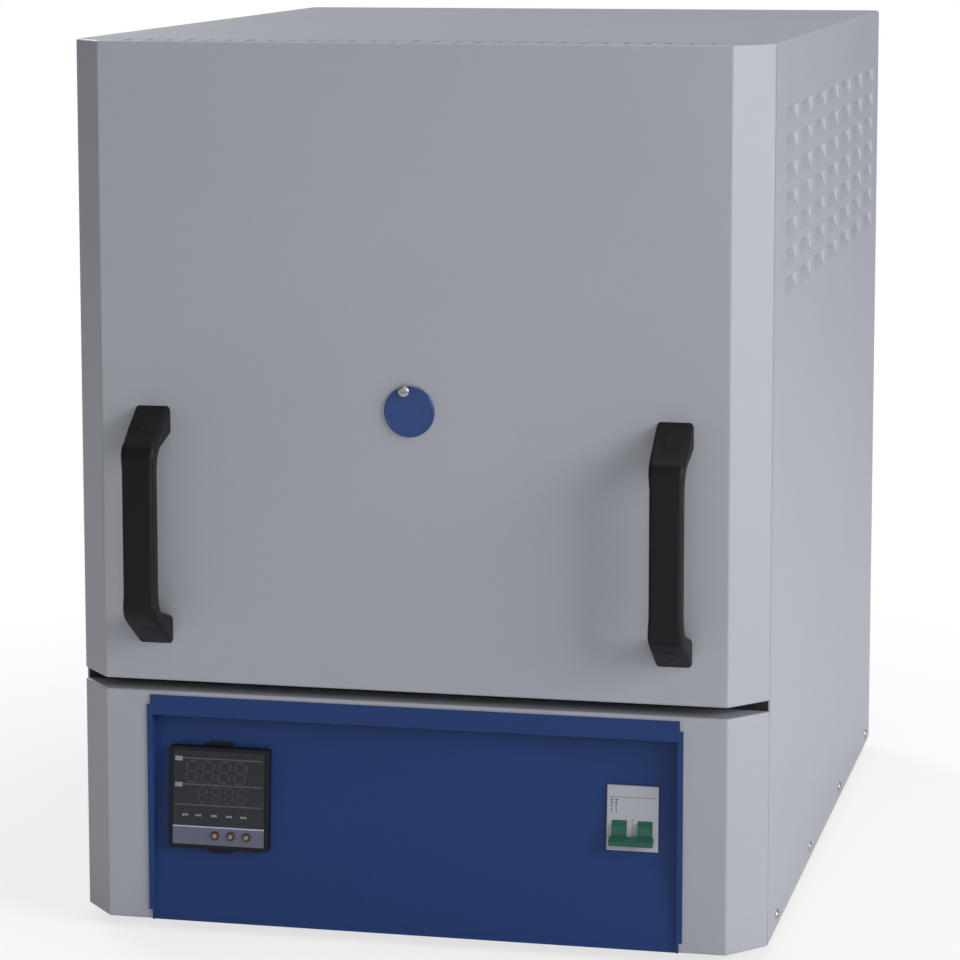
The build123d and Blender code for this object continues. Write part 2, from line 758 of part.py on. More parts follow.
def make_door_gasket():
    """Flat woven tape round the plug, sealing on the front frame."""
    half_w = mouth_half_w + gasket_gap
    half_h = mouth_half_h + gasket_gap
    ring = (RectangleRounded(2 * (half_w + gasket_width), 2 * (half_h + gasket_width), 10)
            - RectangleRounded(2 * half_w, 2 * half_h, 6))
    return Pos(0, seam_y - running_fit, chamber_centre_z) * extrude(Plane.XZ * ring, seam_gap - running_fit)


def make_peephole_sleeve():
    """Tube through the door behind the cover disc."""
    y = (0, front_edge_depth)
    tube = rod_y(peephole_diameter / 2 + sleeve_wall, y, 0, chamber_centre_z)
    return tube - rod_y(peephole_diameter / 2, (y[0] - 1, y[1] + 1), 0, chamber_centre_z)


def make_peephole_cover():
    """Disc that hangs from its screw over the peephole."""
    y = (-running_fit - cover_thickness, -running_fit)
    disc = rod_y(cover_diameter / 2, y, 0, chamber_centre_z)
    disc = chamfer(disc.edges().sort_by(Axis.Y)[0], 0.3)
    hole = cover_screw_diameter / 2 + pin_running_fit
    return disc - rod_y(hole, (y[0] - 1, 1), cover_pivot_x, chamber_centre_z + cover_pivot_z)


def make_cover_screw():
    """Shouldered dome-head screw that the disc turns on, with a nut inside the door."""
    x, z = cover_pivot_x, chamber_centre_z + cover_pivot_z
    seat = -2 * running_fit - cover_thickness
    head = rod_y(cover_screw_head / 2, (seat - cover_screw_head_height, seat), x, z)
    head = fillet(head.edges().sort_by(Axis.Y)[0], cover_screw_head_height * 0.7)
    head -= block((x - cover_screw_head, x + cover_screw_head),
                  (seat - cover_screw_head_height - 1, seat - cover_screw_head_height + 0.8), (z - 0.5, z + 0.5))
    nut = extrude(Plane.XZ * RegularPolygon(3.5, 6, major_radius=False), cover_screw_head_height)
    nut = Pos(x, sheet + cover_screw_head_height, z) * nut
    return head.fuse(rod_y(cover_screw_diameter / 2, (seat, sheet + cover_screw_head_height + 1), x, z), nut)


def handle_screw_places():
    """X and Z of the four handle screws."""
    inset = handle_foot_height / 2
    return [(side * handle_spacing / 2, z) for side in (-1, 1)
            for z in (handle_top_z - inset, handle_top_z - handle_length + inset)]


def make_handle():
    """Moulded bridge handle at X = 0: feet flare from a slimmer grip, all edges rounded."""
    half = handle_length / 2
    inner = handle_projection - handle_grip_thickness
    foot = handle_foot_height
    outer_corners = [(-handle_projection, -half + handle_outer_lean), (-handle_projection, half - handle_outer_lean)]
    inner_corners = [(-inner, half - foot - handle_inner_lean), (-inner, -half + foot + handle_inner_lean)]
    side_view = make_face(Polyline((0, -half), *outer_corners, (0, half), (0, half - foot), *inner_corners,
                                   (0, -half + foot), close=True))
    outer_round = [v for v in side_view.vertices() if abs(v.X + handle_projection) < 0.01]
    side_view = fillet(outer_round, handle_outer_round)
    inner_round = [v for v in side_view.vertices() if abs(v.X + inner) < 0.01 and abs(v.Y) < half - foot]
    side_view = fillet(inner_round, handle_inner_round)
    wide, slim = handle_foot_width / 2, handle_grip_width / 2
    flare_end, flare_start = half - foot, half - 2 * foot
    right = [(wide, -half), (wide, -flare_end), (slim, -flare_start), (slim, flare_start), (wide, flare_end),
             (wide, half)]
    left = [(-x, z) for x, z in reversed(right)]
    front_view = make_face(Polyline(*right, *left, close=True))
    bends = [v for v in front_view.vertices() if abs(v.Y) < half - 1]
    front_view = fillet(bends, handle_flare_round)
    body = Pos(-wide, 0, 0) * extrude(Plane.YZ * side_view, 2 * wide)
    body = body & Pos(0, 1, 0) * extrude(Plane.XZ * front_view, handle_projection + 2)
    rims = [e for f in body.faces() if abs(f.normal_at().X) > 0.7 for e in f.edges()
            if e.bounding_box().min.Y < -0.1 and e.bounding_box().size.X + e.bounding_box().size.Z > 0.5]
    shared = [e for e in rims if sum(e.is_same(o) for o in rims) == 1]
    body = fillet(shared, handle_edge_round)
    for z in (half - foot / 2, -half + foot / 2):
        body -= rod_y(handle_screw_diameter / 2, (-handle_screw_depth, 1), 0, z)
    return body


def make_handles():
    """Left and right handle, standing on the door's face."""
    handle = make_handle()
    z = handle_top_z - handle_length / 2
    return {name: Pos(side * handle_spacing / 2, 0, z) * handle
            for name, side in (("handle_left", -1), ("handle_right", 1))}


def make_handle_screws():
    """Four screws from inside the door into the handles' feet."""
    screws = []
    for x, z in handle_screw_places():
        head = rod_y(handle_screw_diameter * 0.85, (sheet, sheet + 2.6), x, z)
        screws.append(head + rod_y(handle_screw_diameter / 2, (-handle_screw_depth, sheet), x, z))
    return screws


def make_door_bracket():
    """Right bracket: flange inside the door, plate through pan and slot, two shouldered pins."""
    (y1, z1), (y2, z2) = door_pivots
    pan_front = front_edge_depth - door_pan_thickness
    flange_y = (pan_front - bracket_thickness, pan_front)
    flange_z = (z2 - bracket_margin, z1 + bracket_margin)
    root = Pos(pan_front - bracket_thickness / 2, (z1 + z2) / 2) * Rectangle(
        bracket_thickness, flange_z[1] - flange_z[0])
    rings = [Pos(y1, z1) * Circle(bracket_margin), Pos(y2, z2) * Circle(bracket_margin), root]
    outline = make_hull([edge for shape in rings for edge in shape.edges()])
    bracket = Pos(bracket_inner_x, 0, 0) * extrude(Plane.YZ * outline, bracket_thickness)
    bracket += block((bracket_inner_x, bracket_inner_x + bracket_flange), flange_y, flange_z)
    for y, z in door_pivots:
        collar_end = arm_inner_x - pin_stub
        bracket += rod_x(pin_head_diameter / 2, (bracket_outer_x, collar_end), y, z)
        tip = arm_outer_x + pin_stub
        bracket += rod_x(pin_diameter / 2, (collar_end, tip), y, z)
        bracket += rod_x(pin_head_diameter / 2, (tip, tip + pin_head_thickness), y, z)
    return bracket


def pan_bracket_slots():
    """Cutters for the two slots in the door pan that the bracket plates pass through."""
    (_, z1), (_, z2) = door_pivots
    slot = block((bracket_inner_x - running_fit, bracket_outer_x + running_fit),
                 (front_edge_depth - 2 * door_pan_thickness, front_edge_depth + 1),
                 (z2 - 2 * bracket_margin, z1 + 2 * bracket_margin))
    return both(slot)


def make_arm(pivot, door_pivot):
    """Flat link with round ends and two bores, from a casing pivot to a door pivot."""
    (y1, z1), (y2, z2) = pivot, door_pivot
    angle = degrees(atan2(z2 - z1, y2 - y1))
    outline = Pos((y1 + y2) / 2, (z1 + z2) / 2) * SlotCenterToCenter(arm_length, arm_width, rotation=angle)
    arm = Pos(arm_inner_x, 0, 0) * extrude(Plane.YZ * outline, arm_thickness)
    long_edges = arm.faces().filter_by(Axis.X)
    arm = chamfer([e for f in long_edges for e in f.edges()], 0.6)
    for y, z in (pivot, door_pivot):
        arm -= rod_x(pin_diameter / 2 + pin_running_fit, (arm_inner_x - 1, arm_outer_x + 1), y, z)
    return arm


def make_arms():
    """The four links of the lift linkage."""
    arms = {}
    for level, pivot, door_pivot in zip(("upper", "lower"), casing_pivots, door_pivots):
        arm = make_arm(pivot, door_pivot)
        arms[f"arm_right_{level}"] = arm
        arms[f"arm_left_{level}"] = mirror(arm, about=Plane.YZ)
    return arms


def make_pivot_plate():
    """Right pivot plate: flange on the front frame, plate beside the arms."""
    (y1, z1), (y2, z2) = casing_pivots
    r = bracket_margin + 2
    low, high = z2 - r, z1 + r
    root = Pos(frame_back + pivot_plate_thickness / 2, (low + high) / 2) * Rectangle(
        pivot_plate_thickness, high - low)
    rings = [Pos(y1, z1) * Circle(r), Pos(y2, z2) * Circle(r), root]
    outline = make_hull([edge for shape in rings for edge in shape.edges()])
    plate = Pos(plate_inner_x, 0, 0) * extrude(Plane.YZ * outline, pivot_plate_thickness)
    plate += block((plate_inner_x, inner_half - sheet - sheet_fit),
                   (frame_back, frame_back + pivot_plate_thickness), (low, high))
    for y, z in casing_pivots:
        plate -= rod_x(pin_diameter / 2, (plate_inner_x - 1, plate_outer_x + 1), y, z)
    return plate


def make_pivot_pins():
    """Headed pins through the pivot plates, arms and washers, both sides."""
    pins = []
    for y, z in casing_pivots:
        head = arm_inner_x - pin_stub
        pin = rod_x(pin_diameter / 2, (head, plate_outer_x), y, z)
        pin += rod_x(pin_head_diameter / 2, (head - pin_head_thickness, head), y, z)
        pin += rod_x(pin_head_diameter / 2, (plate_outer_x, plate_outer_x + pin_head_thickness), y, z)
        pins += both(pin)
    return pins


def make_friction_washers():
    """Spring washers between arms and pivot plates; their drag holds the lifted door."""
    washers = []
    for y, z in casing_pivots:
        x = (arm_outer_x + pin_stub, plate_inner_x)
        ring = rod_x(arm_width / 2 - 1, x, y, z) - rod_x(pin_diameter / 2, (x[0] - 1, x[1] + 1), y, z)
        washers += both(ring)
    return washers


def controller_recess():
    """Local pocket in the bezel that holds the window and the key strip."""
    half = controller_size / 2 - controller_rim
    return block((-half, half), (-controller_bezel - 1, -controller_bezel + window_depth), (-half, half))


def button_places():
    """Local X and Z of the three keys."""
    return [(button_first + i * button_pitch, -button_drop) for i in range(3)]


def make_controller():
    """Case with square bezel, window, key strip, clips and three keys."""
    half = controller_size / 2
    bezel = block((-half, half), (-controller_bezel, 0), (-half, half))
    bezel = fillet(bezel.edges().filter_by(Axis.Y), 2)
    bezel = fillet(bezel.faces().sort_by(Axis.Y)[0].edges(), 0.8)
    body_half = controller_body / 2
    case = bezel + block((-body_half, body_half), (0, controller_body_depth), (-body_half, body_half))
    case -= controller_recess()
    floor = -controller_bezel + window_depth
    for x, z in button_places():
        case -= rod_y(button_diameter / 2 + 1.0, (floor - 1, floor + 2.4 + button_travel), x, z)
    inner = half - controller_rim
    seam_z = -inner + strip_height
    y = (-controller_bezel, floor)
    window = block((-inner, inner), (y[0] + running_fit, y[1]), (seam_z, inner))
    strip = block((-inner, inner), y, (-inner, seam_z))
    for x, z in button_places():
        strip -= rod_y(button_diameter / 2 + running_fit, (y[0] - 1, y[1] + 1), x, z)
    clips = []
    for sign in (-1, 1):
        z = sorted((sign * half, sign * (half + clip_reach)))
        clip = block((-clip_width / 2, clip_width / 2), (-clip_thickness, 0), z)
        outer = clip.edges().filter_by(Axis.Y).group_by(Axis.Z)[-1 if sign > 0 else 0]
        clips.append(fillet(outer, 1.5))
    place = panel_place(controller_x, controller_z)
    nodes = {
        "controller_case": [place * case],
        "controller_window": [place * window],
        "controller_key_strip": [place * strip],
        "controller_clips": [place * clip for clip in clips],
    }
    for number, (x, z) in enumerate(button_places(), 1):
        key = rod_y(button_diameter / 2, (-controller_bezel - button_proud, floor + running_fit), x, z)
        key = fillet(key.edges().sort_by(Axis.Y)[0], 0.6)
        key += rod_y(button_diameter / 2 + 0.7, (floor + running_fit, floor + running_fit + 1.2), x, z)
        nodes[f"key_{number}"] = [place * key]
    return nodes


def make_breaker():
    """Breaker body with two drum pockets and a cross pin, and its linked toggle."""
    half_w, half_n, half_b = breaker_width / 2, breaker_nose_height / 2, breaker_height / 2
    nose = block((-half_w, half_w), (-breaker_proud, breaker_nose_depth), (-half_n, half_n))
    nose = fillet(nose.faces().sort_by(Axis.Y)[0].edges(), 0.6)
    rear = (breaker_nose_depth, breaker_nose_depth + breaker_body_depth)
    body = nose + block((-half_w, half_w), rear, (-half_b, half_b))
    width, depth = breaker_groove
    body -= block((-width / 2, width / 2), (-breaker_proud - 1, -breaker_proud + depth), (-half_n - 1, breaker_groove_top))
    pivot_y = toggle_pivot_depth - breaker_proud
    poles = (-half_w / 2, half_w / 2)
    tilt = Pos(0, pivot_y, toggle_pivot_z) * Rot(toggle_rest_angle, 0, 0)
    hubs, levers = [], []
    for x in poles:
        pocket_x = (x - toggle_width / 2 - running_fit, x + toggle_width / 2 + running_fit)
        body -= rod_x(toggle_hub_radius + running_fit, pocket_x, pivot_y, toggle_pivot_z)
        body -= toggle_window(pocket_x, pivot_y)
        hub_x = (x - toggle_width / 2, x + toggle_width / 2)
        hubs.append(rod_x(toggle_hub_radius, hub_x, pivot_y, toggle_pivot_z))
        levers.append(tilt * block(hub_x, (-toggle_reach, 0), (-toggle_thickness / 2, toggle_thickness / 2)))
    body += rod_x(toggle_pin_radius, (-half_w + 1, half_w - 1), pivot_y, toggle_pivot_z)
    end = poles[1] + toggle_width / 2 + 1.5
    bar = tilt * block((-end, end), (-toggle_reach, -toggle_reach + toggle_bar_height),
                       (-toggle_thickness / 2, toggle_thickness / 2))
    toggle = hubs[0].fuse(hubs[1], *levers, bar)
    toggle -= rod_x(toggle_pin_radius + pin_running_fit, (-half_w, half_w), pivot_y, toggle_pivot_z)
    place = panel_place(breaker_x, breaker_z)
    return {"breaker_body": [place * body], "breaker_toggle": [place * toggle],
            "breaker_rail": [place * make_rail(rear[1])]}


def toggle_window(x, pivot_y):
    """Wedge in the nose's face that the lever sweeps from its lower to its upper place."""
    front = -breaker_proud - 1
    lowest, highest = radians(toggle_rest_angle), radians(toggle_travel - toggle_rest_angle)
    half = toggle_thickness / 2 + running_fit
    corners = []
    for y in (pivot_y, front):
        corners.append((y, toggle_pivot_z - (pivot_y - y) * tan(lowest) - half / cos(lowest)))
    for y in (front, pivot_y):
        corners.append((y, toggle_pivot_z + (pivot_y - y) * tan(highest) + half / cos(highest)))
    return Pos(x[0], 0, 0) * extrude(Plane.YZ * make_face(Polyline(*corners, close=True)), x[1] - x[0])


def make_rail(start):
    """Hat rail behind the breaker on a strap bent forward to the panel's back at both sides."""
    half, straps = rail_length / 2, []
    web = block((-half, half), (start + rail_depth - rail_thickness, start + rail_depth), (-13.5, 13.5))
    for sign in (-1, 1):
        z = sorted((sign * 12.3, sign * 13.5))
        straps.append(block((-half, half), (start, start + rail_depth), z))
        z = sorted((sign * 12.3, sign * rail_width / 2))
        straps.append(block((-half, half), (start, start + rail_thickness), z))
        x = sorted((sign * (half - rail_thickness), sign * half))
        straps.append(block(x, (sheet + sheet_fit, start + rail_depth), (-12, 12)))
        x = sorted((sign * (half - rail_thickness), sign * (half - 8)))
        straps.append(block(x, (sheet + sheet_fit, sheet + sheet_fit + rail_thickness), (-12, 12)))
    return web.fuse(*straps)


def make_heatsink():
    """Finned heatsink standing on the base pan."""
    width, depth, height = heatsink_size
    base = block((-width / 2, width / 2), (-depth / 2, depth / 2), (height - heatsink_base, height))
    pitch = (width - heatsink_fin) / (heatsink_fins - 1)
    fins = [block((x, x + heatsink_fin), (-depth / 2, depth / 2), (0, height - heatsink_base))
            for x in (-width / 2 + i * pitch for i in range(heatsink_fins))]
    return Pos(relay_x, relay_y, sheet) * base.fuse(*fins)


def make_relay():
    """Solid-state relay block on the heatsink, with four terminal wells."""
    width, depth, height = relay_size
    body = block((-width / 2, width / 2), (-depth / 2, depth / 2), (0, height))
    body = chamfer(body.faces().sort_by(Axis.Z)[-1].edges(), 1.5)
    for x in (-width / 4, width / 4):
        for y in (-depth / 2 + 9, depth / 2 - 9):
            body -= rod_z(5, (height - 8, height + 1), x, y)
    return Pos(relay_x, relay_y, sheet + heatsink_size[2]) * body


def make_terminal_block():
    """Row of mains terminals beside the gland."""
    length = terminal_pole * terminal_poles
    body = block((-length / 2, length / 2), (0, terminal_depth), (0, terminal_height))
    body = chamfer(body.edges().filter_by(Axis.X).group_by(Axis.Z)[-1], 4)
    for i in range(terminal_poles):
        x = -length / 2 + (i + 0.5) * terminal_pole
        for y in (terminal_depth * 0.3, terminal_depth * 0.7):
            body -= rod_z(3.4, (terminal_height - 9, terminal_height + 1), x, y)
    for i in range(1, terminal_poles):
        x = -length / 2 + i * terminal_pole
        body -= block((x - 0.5, x + 0.5), (-1, terminal_depth + 1), (terminal_height - 5, terminal_height + 1))
    return Pos(gland_x - 60, back_y - 110, sheet) * body


def make_gland():
    """Cable gland: threaded body, hexagon, dome nut outside, locknut inside, straight bore."""
    outside = back_y + sheet
    inside = back_y - sheet
    thread = rod_y(gland_thread / 2, (inside - gland_inner_length, outside), gland_x, gland_z)
    hexagon = extrude(Plane.XZ * RegularPolygon(gland_nut / 2, 6, major_radius=False), gland_nut_length)
    outer_hex = Pos(gland_x, outside + gland_nut_length, gland_z) * hexagon
    locknut = Pos(gland_x, back_y, gland_z) * extrude(
        Plane.XZ * RegularPolygon(gland_nut / 2, 6, major_radius=False), gland_nut_length * 0.6)
    dome = rod_y(gland_nut * 0.46, (outside + gland_nut_length, outside + gland_nut_length + gland_dome_length),
                 gland_x, gland_z)
    dome = fillet(dome.edges().sort_by(Axis.Y)[-1], 6)
    gland = thread.fuse(outer_hex, locknut, dome)
    end = outside + gland_nut_length + gland_dome_length
    return gland - rod_y(gland_bore / 2, (inside - gland_inner_length - 1, end + 1), gland_x, gland_z)


def make_side_screws():
    """Pan-head screws along the bottom edge of both side panels."""
    screws = []
    for x, y, z in side_screw_places():
        if x > 0:
            screw = Rot(0, 0, 90) * pan_screw_y(0, 0, 0, -1, 8)
            screws += both(Pos(x, y, z) * screw)
    return screws


def make_rear_screws():
    """Pan-head screws that hold the rear panel."""
    return [pan_screw_y(x, back_y + sheet, z, 1, 7) for x, z in rear_screw_places()]


def make_door_sensor():
    """Reed switch on the front frame and its magnet on the door pan, facing each other."""
    width, height, depth = switch_size
    centre = casing_height - switch_drop
    z = (centre - height / 2, centre + height / 2)
    x = (-width / 2, width / 2)
    pan_front = front_edge_depth - door_pan_thickness
    switch = block(x, (frame_back, frame_back + depth), z)
    magnet = block(x, (pan_front - depth, pan_front), z)
    return [fillet(shape.edges().filter_by(Axis.X), 1.2) for shape in (switch, magnet)]


def build_nodes():
    """Every sub-part as a list of solids under its node name, in the working frame."""
    bracket = make_door_bracket()
    plate = make_pivot_plate()
    sheath, head = make_thermocouple()
    switch, magnet = make_door_sensor()
    pan = make_door_pan().cut(*pan_bracket_slots())
    nodes = {
        "feet": make_feet(),
        "base_pan": make_base_pan(),
        "casing_wrap": make_casing_wrap(),
        "rear_panel": make_rear_panel(),
        "front_frame": make_front_frame(),
        "fascia": make_fascia(),
        "control_panel": make_control_panel(),
        "deck": make_deck(),
        "insulation_jacket": make_jacket(),
        **make_insulation(),
        "mouth_collar": make_mouth_collar(),
        "muffle": make_muffle(),
        "hearth_plate": make_hearth(),
        "heating_winding": [make_winding(), *make_winding_tails()],
        "terminal_beads": make_terminal_beads(),
        "thermocouple_sheath": sheath,
        "thermocouple_head": head,
        "pivot_plate_right": plate,
        "pivot_plate_left": mirror(plate, about=Plane.YZ),
        "pivot_pins": make_pivot_pins(),
        "friction_washers": make_friction_washers(),
        **make_arms(),
        "door_shell": make_door_shell(),
        "door_pan": pan,
        "door_insulation": make_door_insulation(),
        "door_plug": make_door_plug(),
        "door_gasket": make_door_gasket(),
        "door_bracket_right": bracket,
        "door_bracket_left": mirror(bracket, about=Plane.YZ),
        "door_magnet": magnet,
        "door_switch": switch,
        "peephole_sleeve": make_peephole_sleeve(),
        "peephole_cover": make_peephole_cover(),
        "cover_screw": make_cover_screw(),
        **make_handles(),
        "handle_screws": make_handle_screws(),
        **make_controller(),
        **make_breaker(),
        "power_relay": make_relay(),
        "relay_heatsink": make_heatsink(),
        "terminal_block": make_terminal_block(),
        "cable_gland": make_gland(),
        "casing_screws": make_side_screws() + make_rear_screws(),
    }
    return {name: made if isinstance(made, list) else [made] for name, made in nodes.items()}


def row_shift():
    """Move from the working frame to the origin: footprint centre, height of the feet's underside."""
    front = -handle_projection
    rear = back_y + sheet + gland_nut_length + gland_dome_length
    return Pos(0, -(front + rear) / 2, foot_height)


def solids_of(shapes):
    """All solids in a list of shapes, joined results included."""
    return [solid for shape in shapes for solid in shape.solids()]


if __name__ == "__main__":
    os.makedirs("parts", exist_ok=True)
    for node, shapes in build_nodes().items():
        moved = [row_shift() * solid for solid in solids_of(shapes)]
        export_step(moved[0] if len(moved) == 1 else Compound(children=moved), f"parts/{node}.step")
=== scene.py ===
"""Looks of a bench-top muffle furnace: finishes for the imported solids, and the fine pieces on them."""

from __future__ import annotations

import json
import logging
import math
from dataclasses import dataclass, field
from enum import Enum
from functools import cached_property
from typing import Iterable, Protocol, Sequence

import bmesh
import bpy
import numpy as np
from mathutils import Matrix, Vector


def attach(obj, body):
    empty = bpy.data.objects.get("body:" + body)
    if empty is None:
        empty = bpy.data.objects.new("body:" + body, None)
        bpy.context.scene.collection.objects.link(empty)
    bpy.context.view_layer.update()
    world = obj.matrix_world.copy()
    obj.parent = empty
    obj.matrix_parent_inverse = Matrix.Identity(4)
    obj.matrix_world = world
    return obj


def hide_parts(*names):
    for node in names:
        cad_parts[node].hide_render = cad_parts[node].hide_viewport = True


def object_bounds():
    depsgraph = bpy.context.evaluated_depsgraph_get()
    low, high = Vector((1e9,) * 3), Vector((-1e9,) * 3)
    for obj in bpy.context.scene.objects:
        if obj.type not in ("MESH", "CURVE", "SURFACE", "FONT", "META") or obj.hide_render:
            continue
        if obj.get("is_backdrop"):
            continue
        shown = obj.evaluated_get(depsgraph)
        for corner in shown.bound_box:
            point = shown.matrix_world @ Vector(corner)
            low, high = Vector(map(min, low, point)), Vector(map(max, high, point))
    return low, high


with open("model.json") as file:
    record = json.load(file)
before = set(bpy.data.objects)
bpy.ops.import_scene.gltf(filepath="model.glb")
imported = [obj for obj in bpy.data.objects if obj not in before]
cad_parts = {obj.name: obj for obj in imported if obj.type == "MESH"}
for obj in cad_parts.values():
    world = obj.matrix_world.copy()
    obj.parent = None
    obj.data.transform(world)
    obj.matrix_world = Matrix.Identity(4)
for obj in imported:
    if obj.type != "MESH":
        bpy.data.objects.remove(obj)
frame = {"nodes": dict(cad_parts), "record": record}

LOG = logging.getLogger("furnace")
MM = 0.001
# Middle of the footprint, seen from the middle of the door's front face, and the height of the feet, in mm
ROW_SHIFT = np.array([0.0, -318.1, 8.0])

Shell = tuple[np.ndarray, np.ndarray]
Span = tuple[float, float]
Triple = tuple[float, float, float]


def linear(colour: str) -> tuple[float, float, float, float]:
    """Turn a written colour into the linear values that shaders take.

    Args:
        colour: Six hexadecimal digits, red first, as seen on screen.

    Returns:
        Red, green, blue and an alpha of 1, with each channel c taken to ((c + 0.055) / 1.055) to the power of
        2.4, or to c / 12.92 where it is very dark.
    """
    channels = [int(colour[i : i + 2], 16) / 255 for i in (0, 2, 4)]
    spread = [c / 12.92 if c <= 0.04045 else ((c + 0.055) / 1.055) ** 2.4 for c in channels]
    return (*spread, 1.0)


def per_metre(size_mm: float) -> float:
    """Pattern scale at which one blob or cell is about size_mm across."""
    return 1 / (size_mm * MM)


class Side(Enum):
    """The two sides of the furnace, seen from the front."""

    LEFT = -1
    RIGHT = 1


class Wall(Enum):
    """The walls that casing screws stand on; a side wall's value is the sign of its X."""

    LEFT = -1
    RIGHT = 1
    REAR = 0


class Graph:
    """The node tree of a material or of the surroundings, filled by one small function."""

    def __init__(self, owner: bpy.types.Material | bpy.types.World) -> None:
        """Empty the owner's tree.

        Args:
            owner: A new material or a new world.
        """
        owner.use_nodes = True
        self.owner = owner
        self.tree = owner.node_tree
        self.tree.nodes.clear()

    def add(self, kind: str, inputs: dict[str | int, object] | None = None, out: str | int = 0,
            **settings: object) -> bpy.types.NodeSocket | None:
        """Add one node.

        Args:
            kind: Blender's name of the node type.
            inputs: What goes into its sockets, by name or number: a socket is linked, a value is set.
            out: Name or number of the output to hand back.
            **settings: Attributes of the node, such as its operation, set before its sockets.

        Returns:
            The output socket, or nothing for a node that has none.
        """
        node = self.tree.nodes.new(kind)
        for key, value in settings.items():
            setattr(node, key, value)
        for key, value in (inputs or {}).items():
            if isinstance(value, bpy.types.NodeSocket):
                self.tree.links.new(value, node.inputs[key])
            else:
                node.inputs[key].default_value = value
        return node.outputs[out] if node.outputs else None

    @cached_property
    def place(self) -> bpy.types.NodeSocket:
        """Object coordinates, in metres."""
        return self.add("ShaderNodeTexCoord", out="Object")

    def drift(self, colour: str, amount: float, pattern: bpy.types.NodeSocket) -> bpy.types.NodeSocket:
        """Make a colour that runs darker and lighter with a pattern.

        Args:
            colour: The written colour at the pattern's middle.
            amount: Share by which it falls and rises at the pattern's ends.
            pattern: Socket with values from 0 to 1, of which 0.3 to 0.7 are spread over the whole change.

        Returns:
            The colour socket.
        """
        base = np.array(linear(colour))
        dark, light = base * (1 - amount), np.minimum(base * (1 + amount), 1.0)
        dark[3] = light[3] = 1.0
        share = self.add("ShaderNodeMapRange", {"Value": pattern, "From Min": 0.3, "From Max": 0.7})
        return self.add("ShaderNodeMix", {0: share, 6: tuple(dark), 7: tuple(light)}, 2, data_type="RGBA")

    def close(self, surface: bpy.types.NodeSocket, end: str = "ShaderNodeOutputMaterial") -> object:
        """Link the surface to an output node and hand back the material or world."""
        self.add(end, {"Surface": surface})
        return self.owner


class Finish(Protocol):
    """What every finish has: a name in a maker's words and a way to build its material."""

    name: str

    def material(self) -> bpy.types.Material:
        """Build the finish."""


@dataclass(frozen=True)
class PowderCoat:
    """Baked powder coat: a fine leathery grain that breaks up highlights, duller in its hollows."""

    name: str
    colour: str
    grain_mm: float = 1.3
    depth_mm: float = 0.09
    roughness: float = 0.46
    drift: float = 0.035
    shine: float = 0.5
    cloud_mm: float = 120.0

    def material(self) -> bpy.types.Material:
        """Build the finish.

        The height is a coarse grain plus 0.35 of a finer one. The colour drifts with the coarse grain and
        with clouds of 120 mm, and the crests are a little smoother than the hollows. The real grain is
        finer; it is drawn this coarse so that it shows.

        Returns:
            The material.
        """
        g = Graph(bpy.data.materials.new(self.name))
        coarse = g.add("ShaderNodeTexNoise", {"Vector": g.place, "Scale": per_metre(self.grain_mm),
                                              "Detail": 3.0, "Roughness": 0.62})
        fine = g.add("ShaderNodeTexNoise", {"Vector": g.place, "Scale": per_metre(self.grain_mm * 0.38),
                                            "Detail": 2.0, "Roughness": 0.5})
        clouds = g.add("ShaderNodeTexNoise", {"Vector": g.place, "Scale": per_metre(self.cloud_mm),
                                              "Detail": 2.0, "Roughness": 0.5})
        height = g.add("ShaderNodeMath", {0: fine, 1: 0.35, 2: coarse}, operation="MULTIPLY_ADD")
        part = g.add("ShaderNodeMath", {0: coarse, 1: 0.65}, operation="MULTIPLY")
        tone = g.add("ShaderNodeMath", {0: clouds, 1: 0.35, 2: part}, operation="MULTIPLY_ADD")
        rough = g.add("ShaderNodeMapRange", {
            "Value": height, "From Min": 0.4, "From Max": 0.9, "To Min": self.roughness + 0.09,
            "To Max": self.roughness - 0.06})
        grain = g.add("ShaderNodeBump", {"Height": height, "Distance": self.depth_mm * MM, "Strength": 0.55})
        return g.close(g.add("ShaderNodeBsdfPrincipled", {
            "Base Color": g.drift(self.colour, self.drift, tone), "Roughness": rough,
            "Specular IOR Level": self.shine, "Normal": grain}))


@dataclass(frozen=True)
class Enamel:
    """Smooth stoved enamel: an even colour under gloss that waves faintly, like orange peel."""

    name: str
    colour: str
    roughness: float = 0.22
    peel_mm: float = 3.0
    peel_depth_mm: float = 0.03
    cloud_mm: float = 9.0

    def material(self) -> bpy.types.Material:
        """Build the finish: waves in the normal, clouds of 9 mm in the colour, a thin clear coat.

        Returns:
            The material.
        """
        g = Graph(bpy.data.materials.new(self.name))
        peel = g.add("ShaderNodeTexNoise", {"Vector": g.place, "Scale": per_metre(self.peel_mm),
                                            "Detail": 1.5, "Roughness": 0.4})
        clouds = g.add("ShaderNodeTexNoise", {"Vector": g.place, "Scale": per_metre(self.cloud_mm),
                                              "Detail": 2.0, "Roughness": 0.6})
        waves = g.add("ShaderNodeBump", {"Height": peel, "Distance": self.peel_depth_mm * MM,
                                         "Strength": 0.5})
        return g.close(g.add("ShaderNodeBsdfPrincipled", {
            "Base Color": g.drift(self.colour, 0.05, clouds), "Roughness": self.roughness,
            "Coat Weight": 0.12, "Coat Roughness": 0.12, "Normal": waves}))


